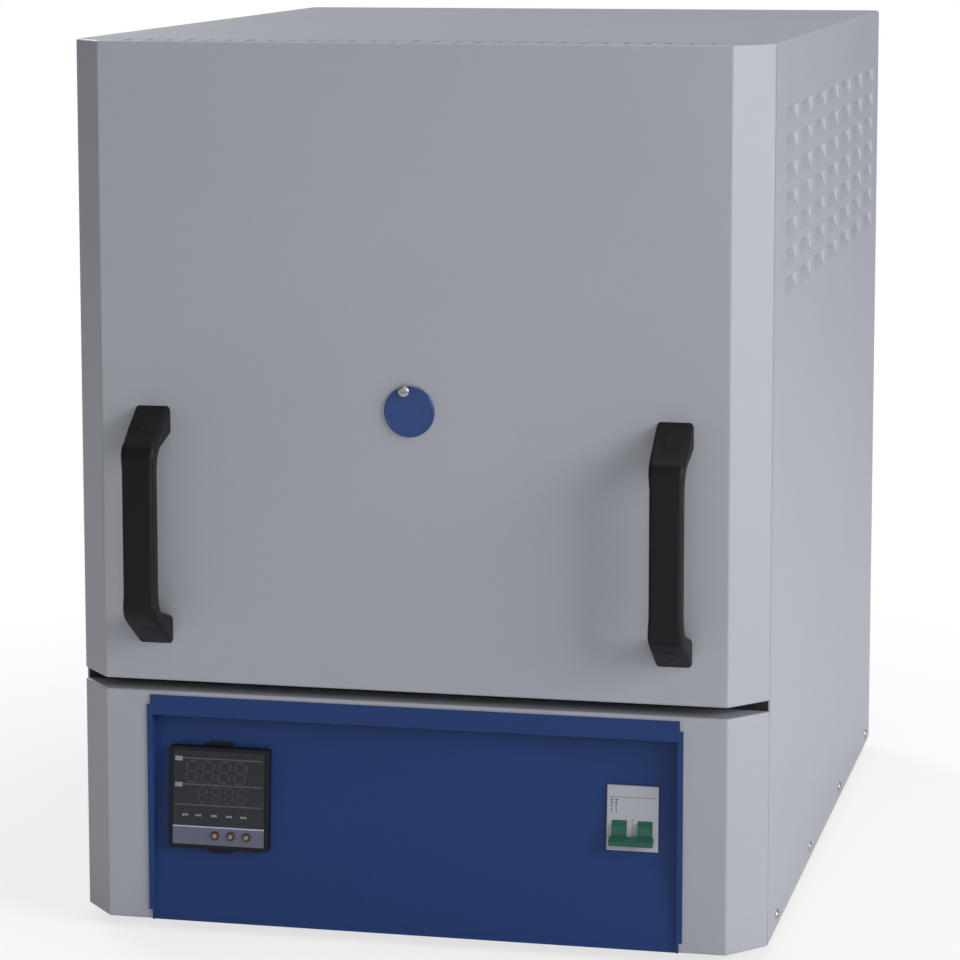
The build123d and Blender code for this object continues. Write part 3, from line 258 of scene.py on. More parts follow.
@dataclass(frozen=True)
class ZincSheet:
    """Hot-dip galvanised sheet: a spangle of crystals, each of its own grey, crossed by rolling marks."""

    name: str
    colour: str = "A9ADAF"
    spangle_mm: float = 7.0
    wobble: float = 0.004
    wobble_per_metre: float = 220.0
    streak_mm: float = 0.5

    def material(self) -> bpy.types.Material:
        """Build the finish.

        Cells of the spangle's size, with their edges pushed about by a cloud pattern, give each crystal one
        brightness. Streaks stretched along Z run over them.

        Returns:
            The material.
        """
        g = Graph(bpy.data.materials.new(self.name))
        cloud = g.add("ShaderNodeTexNoise", {"Vector": g.place, "Scale": self.wobble_per_metre,
                                             "Detail": 2.0}, "Color")
        pushed = g.add("ShaderNodeMix", {0: self.wobble, 4: g.place, 5: cloud}, 1, data_type="VECTOR")
        cells = g.add("ShaderNodeTexVoronoi", {"Vector": pushed, "Scale": per_metre(self.spangle_mm)},
                      "Color")
        crystal = g.add("ShaderNodeSeparateColor", {"Color": cells}, "Red")
        along = g.add("ShaderNodeMapping", {"Vector": g.place, "Scale": (1.0, 1.0, 14.0)})
        streak = g.add("ShaderNodeTexNoise", {"Vector": along, "Scale": per_metre(self.streak_mm),
                                              "Detail": 2.0, "Roughness": 0.5})
        both = g.add("ShaderNodeMath", {0: streak, 1: 0.4, 2: crystal}, operation="MULTIPLY_ADD")
        rough = g.add("ShaderNodeMapRange", {"Value": both, "From Min": 0.1, "From Max": 1.2, "To Min": 0.34,
                                             "To Max": 0.52})
        marks = g.add("ShaderNodeBump", {"Height": streak, "Distance": 0.01 * MM, "Strength": 0.35})
        return g.close(g.add("ShaderNodeBsdfPrincipled", {
            "Base Color": g.drift(self.colour, 0.10, crystal), "Metallic": 0.9, "Roughness": rough,
            "Normal": marks}))


@dataclass(frozen=True)
class Steel:
    """Bare or plated steel: fine lines that its machining left, and duller spots where it was handled."""

    name: str
    colour: str
    roughness: float
    lines: Triple = (1.0, 1.0, 30.0)
    tint: float = 0.06
    line_mm: float = 2.4
    mark_mm: float = 14.0

    def material(self) -> bpy.types.Material:
        """Build the finish: lines squeezed along one axis and handling marks of 14 mm, added up.

        Returns:
            The material.
        """
        g = Graph(bpy.data.materials.new(self.name))
        along = g.add("ShaderNodeMapping", {"Vector": g.place, "Scale": self.lines})
        line = g.add("ShaderNodeTexNoise", {"Vector": along, "Scale": per_metre(self.line_mm), "Detail": 3.0,
                                            "Roughness": 0.6})
        marks = g.add("ShaderNodeTexNoise", {"Vector": g.place, "Scale": per_metre(self.mark_mm),
                                             "Detail": 3.0, "Roughness": 0.6})
        both = g.add("ShaderNodeMath", {0: line, 1: marks}, operation="ADD")
        half = g.add("ShaderNodeMath", {0: both, 1: 0.5}, operation="MULTIPLY")
        rough = g.add("ShaderNodeMapRange", {
            "Value": both, "From Min": 0.6, "From Max": 1.4, "To Min": self.roughness - 0.07,
            "To Max": self.roughness + 0.11})
        scratches = g.add("ShaderNodeBump", {"Height": line, "Distance": 0.008 * MM, "Strength": 0.4})
        return g.close(g.add("ShaderNodeBsdfPrincipled", {
            "Base Color": g.drift(self.colour, self.tint, half), "Metallic": 0.95, "Roughness": rough,
            "Normal": scratches}))


@dataclass(frozen=True)
class Moulding:
    """Moulded plastic: the spark-eroded grain of its tool, and patches that flowed or were rubbed smooth.

    The real grain is about 0.1 mm; it is drawn a few times coarser so that it shows.
    """

    name: str
    colour: str
    roughness: float = 0.5
    grain_mm: float = 0.45
    depth_mm: float = 0.03
    drift: float = 0.06
    shine: float = 0.45
    flow_mm: float = 26.0

    def material(self) -> bpy.types.Material:
        """Build the finish: fine grain in the normal, flow clouds of 26 mm in the colour and the gloss.

        Returns:
            The material.
        """
        g = Graph(bpy.data.materials.new(self.name))
        grain = g.add("ShaderNodeTexNoise", {"Vector": g.place, "Scale": per_metre(self.grain_mm),
                                             "Detail": 2.0, "Roughness": 0.55})
        flow = g.add("ShaderNodeTexNoise", {"Vector": g.place, "Scale": per_metre(self.flow_mm),
                                            "Detail": 3.0, "Roughness": 0.55})
        both = g.add("ShaderNodeMath", {0: grain, 1: flow}, operation="ADD")
        half = g.add("ShaderNodeMath", {0: both, 1: 0.5}, operation="MULTIPLY")
        rough = g.add("ShaderNodeMapRange", {
            "Value": flow, "From Min": 0.3, "From Max": 0.7, "To Min": self.roughness - 0.06,
            "To Max": self.roughness + 0.06})
        skin = g.add("ShaderNodeBump", {"Height": grain, "Distance": self.depth_mm * MM, "Strength": 0.5})
        return g.close(g.add("ShaderNodeBsdfPrincipled", {
            "Base Color": g.drift(self.colour, self.drift, half), "Roughness": rough,
            "Specular IOR Level": self.shine, "Normal": skin}))


@dataclass(frozen=True)
class FibreBoard:
    """Vacuum-formed ceramic fibre: soft white board, matted and felt-like, with pressed hollows."""

    name: str
    colour: str = "E6E1D3"
    fibre_mm: float = 2.2
    hollow_mm: float = 17.0

    def material(self) -> bpy.types.Material:
        """Build the finish: fibres squeezed along two directions, their mean laid over slow hollows.

        Returns:
            The material.
        """
        g = Graph(bpy.data.materials.new(self.name))
        mats = []
        for squeeze in ((0.35, 1.0, 1.6), (1.5, 0.4, 0.8)):
            along = g.add("ShaderNodeMapping", {"Vector": g.place, "Scale": squeeze})
            mats.append(g.add("ShaderNodeTexNoise", {"Vector": along, "Scale": per_metre(self.fibre_mm),
                                                     "Detail": 4.0, "Roughness": 0.7}))
        both = g.add("ShaderNodeMath", {0: mats[0], 1: mats[1]}, operation="ADD")
        mat = g.add("ShaderNodeMath", {0: both, 1: 0.5}, operation="MULTIPLY")
        hollow = g.add("ShaderNodeTexNoise", {"Vector": g.place, "Scale": per_metre(self.hollow_mm),
                                              "Detail": 2.0, "Roughness": 0.5})
        part = g.add("ShaderNodeMath", {0: hollow, 1: 0.4}, operation="MULTIPLY")
        tone = g.add("ShaderNodeMath", {0: mat, 1: 0.6, 2: part}, operation="MULTIPLY_ADD")
        height = g.add("ShaderNodeMath", {0: mat, 1: hollow}, operation="ADD")
        felt = g.add("ShaderNodeBump", {"Height": height, "Distance": 0.5 * MM, "Strength": 0.55})
        return g.close(g.add("ShaderNodeBsdfPrincipled", {
            "Base Color": g.drift(self.colour, 0.07, tone), "Roughness": 0.93, "Specular IOR Level": 0.2,
            "Sheen Weight": 0.08, "Normal": felt}))


@dataclass(frozen=True)
class Fireclay:
    """Unglazed refractory ceramic: a sanded buff skin with dark iron specks and small pores."""

    name: str
    colour: str = "D8C8AC"
    speck: str = "8C6E4E"
    speck_mm: float = 3.4
    pore_mm: float = 1.7
    cloud_mm: float = 38.0
    sand_mm: float = 0.8

    def material(self) -> bpy.types.Material:
        """Build the finish: specks and pores in the middles of two cell patterns, over clouds of 38 mm.

        Returns:
            The material.
        """
        g = Graph(bpy.data.materials.new(self.name))
        clouds = g.add("ShaderNodeTexNoise", {"Vector": g.place, "Scale": per_metre(self.cloud_mm),
                                              "Detail": 3.0, "Roughness": 0.6})
        spots = g.add("ShaderNodeTexVoronoi", {"Vector": g.place, "Scale": per_metre(self.speck_mm)},
                      "Distance")
        share = g.add("ShaderNodeMapRange", {"Value": spots, "From Min": 0.06, "From Max": 0.13,
                                             "To Min": 0.55, "To Max": 0.0})
        body = g.drift(self.colour, 0.08, clouds)
        colour = g.add("ShaderNodeMix", {0: share, 6: body, 7: linear(self.speck)}, 2, data_type="RGBA")
        holes = g.add("ShaderNodeTexVoronoi", {"Vector": g.place, "Scale": per_metre(self.pore_mm)},
                      "Distance")
        pore = g.add("ShaderNodeMapRange", {"Value": holes, "From Min": 0.0, "From Max": 0.3})
        sand = g.add("ShaderNodeTexNoise", {"Vector": g.place, "Scale": per_metre(self.sand_mm),
                                            "Detail": 2.0, "Roughness": 0.6})
        height = g.add("ShaderNodeMath", {0: pore, 1: 0.5, 2: sand}, operation="MULTIPLY_ADD")
        skin = g.add("ShaderNodeBump", {"Height": height, "Distance": 0.12 * MM, "Strength": 0.5})
        return g.close(g.add("ShaderNodeBsdfPrincipled", {
            "Base Color": colour, "Roughness": 0.88, "Specular IOR Level": 0.25, "Normal": skin}))


@dataclass(frozen=True)
class WovenTape:
    """Woven glass-fibre tape: threads over and under each other, with a soft fuzz."""

    name: str
    colour: str = "D9D3C2"
    thread_mm: float = 1.1
    fuzz_mm: float = 0.7

    def material(self) -> bpy.types.Material:
        """Build the finish: a sine wave across X times one across Z, each a thread wide, with fuzz.

        Returns:
            The material.
        """
        g = Graph(bpy.data.materials.new(self.name))
        waves = []
        for axis in ("X", "Z"):
            place = g.add("ShaderNodeSeparateXYZ", {"Vector": g.place}, axis)
            turn = g.add("ShaderNodeMath", {0: place, 1: math.pi * per_metre(self.thread_mm)},
                         operation="MULTIPLY")
            waves.append(g.add("ShaderNodeMath", {0: turn}, operation="SINE"))
        product = g.add("ShaderNodeMath", {0: waves[0], 1: waves[1]}, operation="MULTIPLY")
        weave = g.add("ShaderNodeMapRange", {"Value": product, "From Min": -1.0, "From Max": 1.0})
        fuzz = g.add("ShaderNodeTexNoise", {"Vector": g.place, "Scale": per_metre(self.fuzz_mm),
                                            "Detail": 3.0, "Roughness": 0.6})
        both = g.add("ShaderNodeMath", {0: weave, 1: fuzz}, operation="ADD")
        half = g.add("ShaderNodeMath", {0: both, 1: 0.5}, operation="MULTIPLY")
        height = g.add("ShaderNodeMath", {0: fuzz, 1: 0.4, 2: weave}, operation="MULTIPLY_ADD")
        threads = g.add("ShaderNodeBump", {"Height": height, "Distance": 0.3 * MM, "Strength": 0.6})
        return g.close(g.add("ShaderNodeBsdfPrincipled", {
            "Base Color": g.drift(self.colour, 0.12, half), "Roughness": 0.85, "Sheen Weight": 0.15,
            "Normal": threads}))


@dataclass(frozen=True)
class Gloss:
    """Clear-surfaced plastic film, key or print: nearly even colour, brushed where it has lines."""

    name: str
    colour: str
    roughness: float = 0.16
    metallic: float = 0.0
    lines: Triple = (1.0, 1.0, 1.0)
    pattern_mm: float = 1.2

    def material(self) -> bpy.types.Material:
        """Build the finish: one fine pattern, squeezed along the lines, in the colour and the normal.

        Returns:
            The material.
        """
        g = Graph(bpy.data.materials.new(self.name))
        along = g.add("ShaderNodeMapping", {"Vector": g.place, "Scale": self.lines})
        pattern = g.add("ShaderNodeTexNoise", {"Vector": along, "Scale": per_metre(self.pattern_mm),
                                               "Detail": 2.0, "Roughness": 0.5})
        skin = g.add("ShaderNodeBump", {"Height": pattern, "Distance": 0.01 * MM, "Strength": 0.3})
        return g.close(g.add("ShaderNodeBsdfPrincipled", {
            "Base Color": g.drift(self.colour, 0.07, pattern), "Roughness": self.roughness,
            "Metallic": self.metallic, "Coat Weight": 0.1, "Coat Roughness": 0.08, "Normal": skin}))


@dataclass(frozen=True)
class Finishes:
    """All the furnace's finishes, by the record's material slot."""

    made: dict[str, bpy.types.Material] = field(default_factory=dict)

    LIST = {
        # Polyester powder coat on the casing, door and fascia: light grey, softly matt, with a fine grain
        "body_paint": PowderCoat("powder_coat_light_grey", "A3A6AE"),
        # The same powder in deep blue on the control panel: its grain shows more against the dark colour
        "panel_paint": PowderCoat("powder_coat_blue", "1B396F", grain_mm=1.1, roughness=0.5, drift=0.08,
                                  shine=0.28),
        # Matt near-black on the frame behind the door, partly its paint and partly painted shade: it darkens
        # the gap round the door so that the gap looks empty
        "frame_paint": PowderCoat("matt_black_frame_and_gap_shade", "1B1B1D", grain_mm=0.8, depth_mm=0.05,
                                  roughness=0.7),
        # Stoved enamel on the peephole disc: smoother and brighter than the powder round it
        "cover_paint": Enamel("stoved_enamel_blue", "213F78", 0.34),
        # Galvanised sheet of the pans, deck and jacket: patchy blue-grey crystals
        "zinc_sheet": ZincSheet("galvanised_sheet"),
        # Zinc-plated flat bar of the arms and brackets: pale, with drawn lines
        "link_steel": Steel("zinc_plated_flat_bar", "9DA0A2", 0.36),
        # Turned pins: bright, with rings from the lathe
        "pin_steel": Steel("turned_steel", "BFC1C4", 0.2, (22.0, 1.0, 1.0)),
        # Plated screws: small bright highlights
        "screw_steel": Steel("plated_screw_steel", "B9BABB", 0.26, (1.0, 6.0, 1.0)),
        # Extruded alloy of the heat sink: die lines along its fins
        "heatsink_alloy": Steel("extruded_alloy", "B8BBBE", 0.4, (18.0, 0.4, 18.0)),
        # Heating ribbon after firing: dull grey-brown oxide
        "heater_alloy": Steel("oxidised_heating_ribbon", "5E5650", 0.62, (4.0, 4.0, 4.0), 0.2),
        # Ceramic fibre board: chalky white without a highlight
        "fibre_board": FibreBoard("ceramic_fibre_board"),
        # Glass-fibre tape of the gasket: a visible weave
        "gasket_tape": WovenTape("glass_fibre_tape"),
        # Fired clay of the muffle and hearth: warm buff with specks
        "fireclay": Fireclay("fireclay"),
        # Glass-filled nylon of the handles: nearly black, with a soft sheen on its rounds
        "handle_plastic": Moulding("handle_nylon_black", "0E0E11", 0.5, 0.55, 0.035, 0.15, 0.25),
        # Instrument case: blue-black and finely grained
        "controller_plastic": Moulding("instrument_case_black", "0D1016", 0.5, shine=0.3),
        # Smoked window of the display: darker and glossier than its case
        "window_plastic": Gloss("smoked_window", "0E121B", 0.2),
        # Silver film under the keys: brushed across
        "strip_plastic": Gloss("silver_film", "686A7E", 0.36, 0.5, (1.0, 1.0, 24.0)),
        # Keys: dark brown rings round their lenses
        "key_plastic": Gloss("dark_key", "3A2F2E", 0.35),
        # Thermoset of the breaker: pale grey, almost without grain
        "breaker_plastic": Moulding("breaker_thermoset_grey", "ACAEB6", 0.5, 0.4, 0.02, 0.03),
        # Nylon of the breaker's toggle: dark green with a broad highlight
        "toggle_plastic": Moulding("toggle_nylon_green", "1F5C4A", 0.36, 0.6, 0.012, 0.08),
        # Relay case, out of sight behind the panel
        "relay_plastic": Moulding("relay_case_black", "202124", 0.5),
        # Ivory nylon of the terminal block
        "terminal_plastic": Moulding("terminal_nylon_ivory", "CFC9B4", 0.5),
        # Black nylon of the cable gland: a little shinier than the handles
        "gland_plastic": Moulding("gland_nylon_black", "242427", 0.46, 0.6, 0.02),
        # Rubber of the feet: dull, with a coarse skin
        "foot_rubber": Moulding("foot_rubber", "17171A", 0.78, 0.8, 0.05, 0.12),
    }

    def other(self, finish: Finish) -> bpy.types.Material:
        """Return a finish's material, made the first time it is asked for.

        Args:
            finish: The finish; its name tells whether it was made before.

        Returns:
            The material.
        """
        if finish.name not in self.made:
            self.made[finish.name] = finish.material()
        return self.made[finish.name]

    def slot(self, name: str) -> bpy.types.Material:
        """Return the material of a record slot."""
        return self.other(self.LIST[name])


@dataclass
class Workshop:
    """Places pieces: one helper for new meshes, one for carried-over nodes."""

    finishes: Finishes = field(default_factory=Finishes)
    count: int = 0

    def add(self, name: str, shells: Iterable[Shell], body: str, slot: str, finish: Finish | None = None,
            smooth: bool = True) -> bpy.types.Object:
        """Add one new piece from its shells.

        Args:
            name: The piece's name.
            shells: Pairs of vertices in mm in the row frame and faces of three or four corners, all alike in
                one pair.
            body: The body that it rides on.
            slot: The record's material slot that it takes its finish from.
            finish: A finish of its own where the slot's isn't the right one.
            smooth: Whether faces blend into their neighbours.

        Returns:
            The new object, at the origin.
        """
        points, corners, starts, sizes = [], [], [], []
        base = loop = 0
        for vertices, faces in shells:
            points.append(vertices * MM)
            corners.append((faces + base).ravel())
            sizes.append(np.full(len(faces), faces.shape[1]))
            starts.append(loop + np.arange(len(faces)) * faces.shape[1])
            base += len(vertices)
            loop += faces.size
        mesh = bpy.data.meshes.new(name)
        mesh.vertices.add(base)
        mesh.vertices.foreach_set("co", np.concatenate(points).astype(np.float32).ravel())
        mesh.loops.add(loop)
        mesh.loops.foreach_set("vertex_index", np.concatenate(corners).astype(np.int32))
        mesh.polygons.add(sum(len(s) for s in sizes))
        mesh.polygons.foreach_set("loop_start", np.concatenate(starts).astype(np.int32))
        mesh.polygons.foreach_set("loop_total", np.concatenate(sizes).astype(np.int32))
        mesh.polygons.foreach_set("use_smooth", np.full(len(mesh.polygons), smooth))
        mesh.update(calc_edges=True)
        mesh.validate()
        piece = bpy.data.objects.new(name, mesh)
        bpy.context.scene.collection.objects.link(piece)
        piece.data.materials.append(self.finishes.other(finish) if finish else self.finishes.slot(slot))
        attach(piece, body)
        self.count += 1
        LOG.info("piece %s: %d faces on %s", name, len(mesh.polygons), body)
        return piece

    def dress_nodes(self) -> None:
        """Give every carried-over node the finish of its slot in the record."""
        for entry in frame["record"]["subparts"]:
            node = frame["nodes"][entry["node"]]
            node.data.materials.clear()
            node.data.materials.append(self.finishes.slot(entry["material_slot"]))
            LOG.info("node %s: %s", entry["node"], entry["material_slot"])


def grid_faces(rows: int, columns: int, wrap: bool = False) -> np.ndarray:
    """Make the quads of a grid of points.

    Args:
        rows: Points down the grid.
        columns: Points across it; point (i, j) has the number i times columns plus j.
        wrap: Whether the last column joins the first.

    Returns:
        Four point numbers for each quad.
    """
    across = columns if wrap else columns - 1
    i, j = np.meshgrid(np.arange(rows - 1), np.arange(across), indexing="ij")
    right = (j + 1) % columns
    quads = [i * columns + j, i * columns + right, (i + 1) * columns + right, (i + 1) * columns + j]
    return np.stack(quads, -1).reshape(-1, 4)


def lathe(profile: Sequence[Span], steps: int = 48) -> Shell:
    """Turn a profile about the Z axis.

    Args:
        profile: Pairs of radius and height; each point goes round as radius times cosine and sine of an
            angle.
        steps: Points in a full turn.

    Returns:
        Vertices and quads.
    """
    radius, height = np.array(profile).T
    angle = np.linspace(0, 2 * np.pi, steps, endpoint=False)
    rounds = [np.outer(radius, np.cos(angle)), np.outer(radius, np.sin(angle)),
              np.repeat(height[:, None], steps, 1)]
    return np.stack(rounds, -1).reshape(-1, 3), grid_faces(len(radius), steps, True)


def slab(outline: np.ndarray, thickness: float) -> Shell:
    """Make a flat plate whose front face is drawn in a little.

    Args:
        outline: Its four corners in X and Z.
        thickness: How far it reaches from Y 0 towards -Y; the last 0.4 of that narrows to 0.985 of the
            outline.

    Returns:
        Vertices and quads.
    """
    middle = outline.mean(0)
    inner = middle + (outline - middle) * 0.985
    layers = [(outline, 0.0), (outline, -thickness * 0.6), (inner, -thickness)]
    points = [np.column_stack([ring[:, 0], np.full(4, y), ring[:, 1]]) for ring, y in layers]
    back, front = [[3, 2, 1, 0]], [[8, 9, 10, 11]]
    return np.concatenate(points), np.concatenate([grid_faces(3, 4, True), front, back])


def fix_normals(piece: bpy.types.Object) -> None:
    """Merge a new piece's doubled points, then turn its faces outwards.

    Args:
        piece: The piece, whose mesh is changed in place.
    """
    work = bmesh.new()
    work.from_mesh(piece.data)
    bmesh.ops.remove_doubles(work, verts=work.verts, dist=1e-6)
    bmesh.ops.recalc_face_normals(work, faces=work.faces)
    work.to_mesh(piece.data)
    work.free()


@dataclass(frozen=True)
class PanelFrame:
    """The control panel's leaning face: X to the right, Z up the face and -Y out of it, in mm."""

    x: float
    z: float
    set_back: float = 11.0
    crease: float = 147.0

    def place(self, points: np.ndarray) -> np.ndarray:
        """Carry points from the face's own frame to the row's.

        The face leans back by the angle whose tangent is set_back / crease. A point (x, y, z) goes to
        (x, y cos + z sin, z cos - y sin), after z is moved up by the place's height on the face.

        Args:
            points: Rows of X, Y and Z on the face.

        Returns:
            The same points in the row's frame.
        """
        lean = math.atan2(self.set_back, self.crease)
        up = points[:, 2] + self.z / math.cos(lean)
        y = points[:, 1] * math.cos(lean) + up * math.sin(lean)
        z = up * math.cos(lean) - points[:, 1] * math.sin(lean)
        return np.column_stack([points[:, 0] + self.x, y, z]) + ROW_SHIFT

    def bar(self, x: Span, z: Span, y: float, thick: float = 0.12) -> Shell:
        """Make one printed bar.

        Args:
            x: Its left and right ends.
            z: Its lower and upper edges.
            y: The surface that it is printed on.
            thick: How far it stands out.

        Returns:
            Vertices and quads in the row's frame.
        """
        corners = np.array([[x[0], z[0]], [x[1], z[0]], [x[1], z[1]], [x[0], z[1]]])
        points, faces = slab(corners, thick)
        return self.place(points + [0, y, 0]), faces


class Segment(Enum):
    """The strokes of a seven-segment digit: ends in units of half a digit's width and height."""

    TOP = ((-1, 1), (1, 1))
    UPPER_LEFT = ((-1, 1), (-1, 0))
    UPPER_RIGHT = ((1, 1), (1, 0))
    MIDDLE = ((-1, 0), (1, 0))
    LOWER_LEFT = ((-1, 0), (-1, -1))
    LOWER_RIGHT = ((1, 0), (1, -1))
    BOTTOM = ((-1, -1), (1, -1))


@dataclass(frozen=True)
class DigitRow:
    """A row of unlit digits: middle in X and Z, height of a digit, distance between digits."""

    x: float
    z: float
    height: float
    pitch: float
    count: int = 4
    lean: float = 0.1

    def strokes(self, panel: PanelFrame, surface: float) -> list[Shell]:
        """Build every stroke of the row.

        A digit is 0.52 of its height wide. A stroke is a bar a tenth of the height thick, pulled in at both
        ends by three quarters of that, and leans by the row's lean times Z.

        Args:
            panel: The face that the row is on.
            surface: The window's face in Y.

        Returns:
            One shell for each stroke.
        """
        half = np.array([self.height * 0.26, self.height / 2])
        thick = self.height * 0.1
        first = self.x - self.pitch * (self.count - 1) / 2
        shells = []
        for middle in (first + i * self.pitch for i in range(self.count)):
            for segment in Segment:
                ends = np.array(segment.value) * half
                along = (ends[1] - ends[0]) / np.linalg.norm(ends[1] - ends[0])
                across = np.array([-along[1], along[0]]) * thick / 2
                ends = ends + np.outer([1, -1], along) * thick * 0.75
                corners = np.array([ends[0] - across, ends[1] - across, ends[1] + across, ends[0] + across])
                corners[:, 0] += corners[:, 1] * self.lean
                points, faces = slab(corners + [middle, self.z], 0.12)
                shells.append((panel.place(points + [0, surface, 0]), faces))
        return shells


@dataclass
class ControllerFace:
    """Everything printed or let into the temperature controller's front, and a painted highlight on its film,
    in mm on its own face.
    """

    panel: PanelFrame = PanelFrame(-138.0, 88.5)
    window_y: float = -6.2
    strip_y: float = -6.5
    upper: DigitRow = DigitRow(-2.0, 18.4, 14.6, 11.6)
    lower: DigitRow = DigitRow(2.6, 2.2, 10.4, 9.4)
    line_x: Span = (-32.0, 31.5)
    line_z: Triple = (27.6, 9.2, -5.2)
    line_half: float = 0.55
    film: float = 0.06
    marker_x: Span = (-31.8, -26.4)
    marker_z: Span = (27.2, 8.8)
    marker_reach: Span = (-1.7, 1.5)
    marker_lift: float = 0.07
    mark_x: tuple[float, ...] = (-26.2, -16.6, -5.2, 5.6, 16.0)
    mark_z: Span = (-13.3, -11.7)
    mark_width: float = 1.1
    mark_ticks: tuple[Span, ...] = ((0.0, 0.0), (1.5, 0.3), (3.0, 0.1))
    # Where the painted highlight along the silver film's upper edge lies
    highlight_x: Span = (-33.0, 33.0)
    highlight_z: Span = (-20.9, -19.9)
    first_key: Triple = (-2.4, -8.1, -26.2)
    key_pitch: float = 11.4
    lens: tuple[Span, ...] = ((1.55, -0.1), (1.55, 0.12), (1.2, 0.3), (0.7, 0.4), (0.02, 0.43))

    def build(self, shop: Workshop) -> None:
        """Add the digits, printed marks, a painted highlight along the film's edge, and key lenses.

        Args:
            shop: The workshop that places them.
        """
        bar, window = self.panel.bar, "window_plastic"
        for name, row in (("upper", self.upper), ("lower", self.lower)):
            shop.add(f"controller_digits_{name}", row.strokes(self.panel, self.window_y), "root", window,
                     Gloss("unlit_segment", "34363F", 0.45), False)
        lines = [bar(self.line_x, (z - self.line_half, z + self.line_half), self.window_y, self.film)
                 for z in self.line_z]
        shop.add("controller_window_lines", lines, "root", window, Gloss("grey_print", "444957", 0.45), False)
        low, high = self.marker_reach
        blocks = [bar(self.marker_x, (z + low, z + high), self.window_y - self.marker_lift)
                  for z in self.marker_z]
        shop.add("controller_markers", blocks, "root", window, Gloss("pale_marker", "868A98", 0.4), False)
        marks = [bar((x + dx, x + dx + self.mark_width), (self.mark_z[0] + dz, self.mark_z[1]), self.window_y,
                     self.film) for x in self.mark_x for dx, dz in self.mark_ticks]
        shop.add("controller_small_marks", marks, "root", window, Gloss("white_print", "8F93A0", 0.5), False)
        # A pale bar along the silver film's upper edge: a painted highlight
        shop.add("controller_strip_painted_highlight", [bar(self.highlight_x, self.highlight_z, self.strip_y, 0.2)], "root",
                 "strip_plastic", Gloss("painted_highlight_film_edge", "AEB2C6", 0.25, 0.3), False)
        self.key_lenses(shop)

    def key_lenses(self, shop: Workshop) -> None:
        """Add the amber lens in the middle of each key, a low dome turned about the key's axis.

        Args:
            shop: The workshop that places them.
        """
        points, faces = lathe(self.lens, 32)
        points = np.column_stack([points[:, 0], -points[:, 2], points[:, 1]])
        for number in (1, 2, 3):
            spot = np.array(self.first_key) + [self.key_pitch * (number - 1), 0, 0]
            shells = [(self.panel.place(points + spot), faces)]
            piece = shop.add(f"key_{number}_lens", shells, f"key_{number}", "key_plastic",
                             Gloss("amber_lens", "A97B57", 0.25))
            fix_normals(piece)


@dataclass
class BreakerFace:
    """A thin printed rule and a plain contact diagram on the breaker's face, in mm on the panel's frame."""

    panel: PanelFrame = PanelFrame(153.5, 90.5)
    front: float = -2.0
    film: float = 0.05
    rule: tuple[Span, Span] = ((-15.2, 15.6), (14.2, 14.6))
    # Each pole: a line above its contact, one below it, its upper terminal and its lower one
    pole: tuple[tuple[Span, Span], ...] = (((0.0, 0.5), (8.2, 12.6)), ((0.0, 0.5), (3.6, 6.4)),
                                           ((-0.8, 1.3), (12.4, 12.9)), ((-0.6, 0.7), (7.6, 8.1)))
    pole_x: Span = (-14.6, -11.4)
    link: tuple[Span, Span] = ((-13.6, -11.6), (10.2, 10.5))

    def build(self, shop: Workshop) -> None:
        """Add the rule across the label, and the two poles of the diagram with the link between them.

        Args:
            shop: The workshop that places them.
        """
        rule = [self.panel.bar(*self.rule, self.front, self.film)]
        shop.add("breaker_label_rule", rule, "root", "breaker_plastic",
                 Gloss("brown_print", "7A6A66", 0.6), False)
        strokes = [((left + x[0], left + x[1]), z) for left in self.pole_x for x, z in self.pole]
        diagram = [self.panel.bar(x, z, self.front, self.film) for x, z in strokes + [self.link]]
        shop.add("breaker_contact_diagram", diagram, "root", "breaker_plastic",
                 Gloss("black_print", "33343A", 0.6), False)


@dataclass
class PeepholeRim:
    """The bead pressed into the peephole disc's face."""

    centre: Span = (0.0, 366.0)
    front: float = -1.8
    radius: float = 16.1
    half_width: float = 0.35
    height: float = 0.22

    def build(self, shop: Workshop) -> None:
        """Add a faint ring near the disc's edge: half an ellipse turned about the disc's axis.

        Args:
            shop: The workshop that places it.
        """
        bead = [(self.radius + self.half_width * math.cos(a), self.height * math.sin(a))
                for a in np.linspace(math.pi, 0, 9)]
        points, faces = lathe(bead, 72)
        turned = np.column_stack([points[:, 0] + self.centre[0], self.front - points[:, 2],
                                  points[:, 1] + self.centre[1]])
        shop.add("peephole_disc_bead", [(turned + ROW_SHIFT, faces[:, ::-1])], "peephole_disc", "cover_paint")


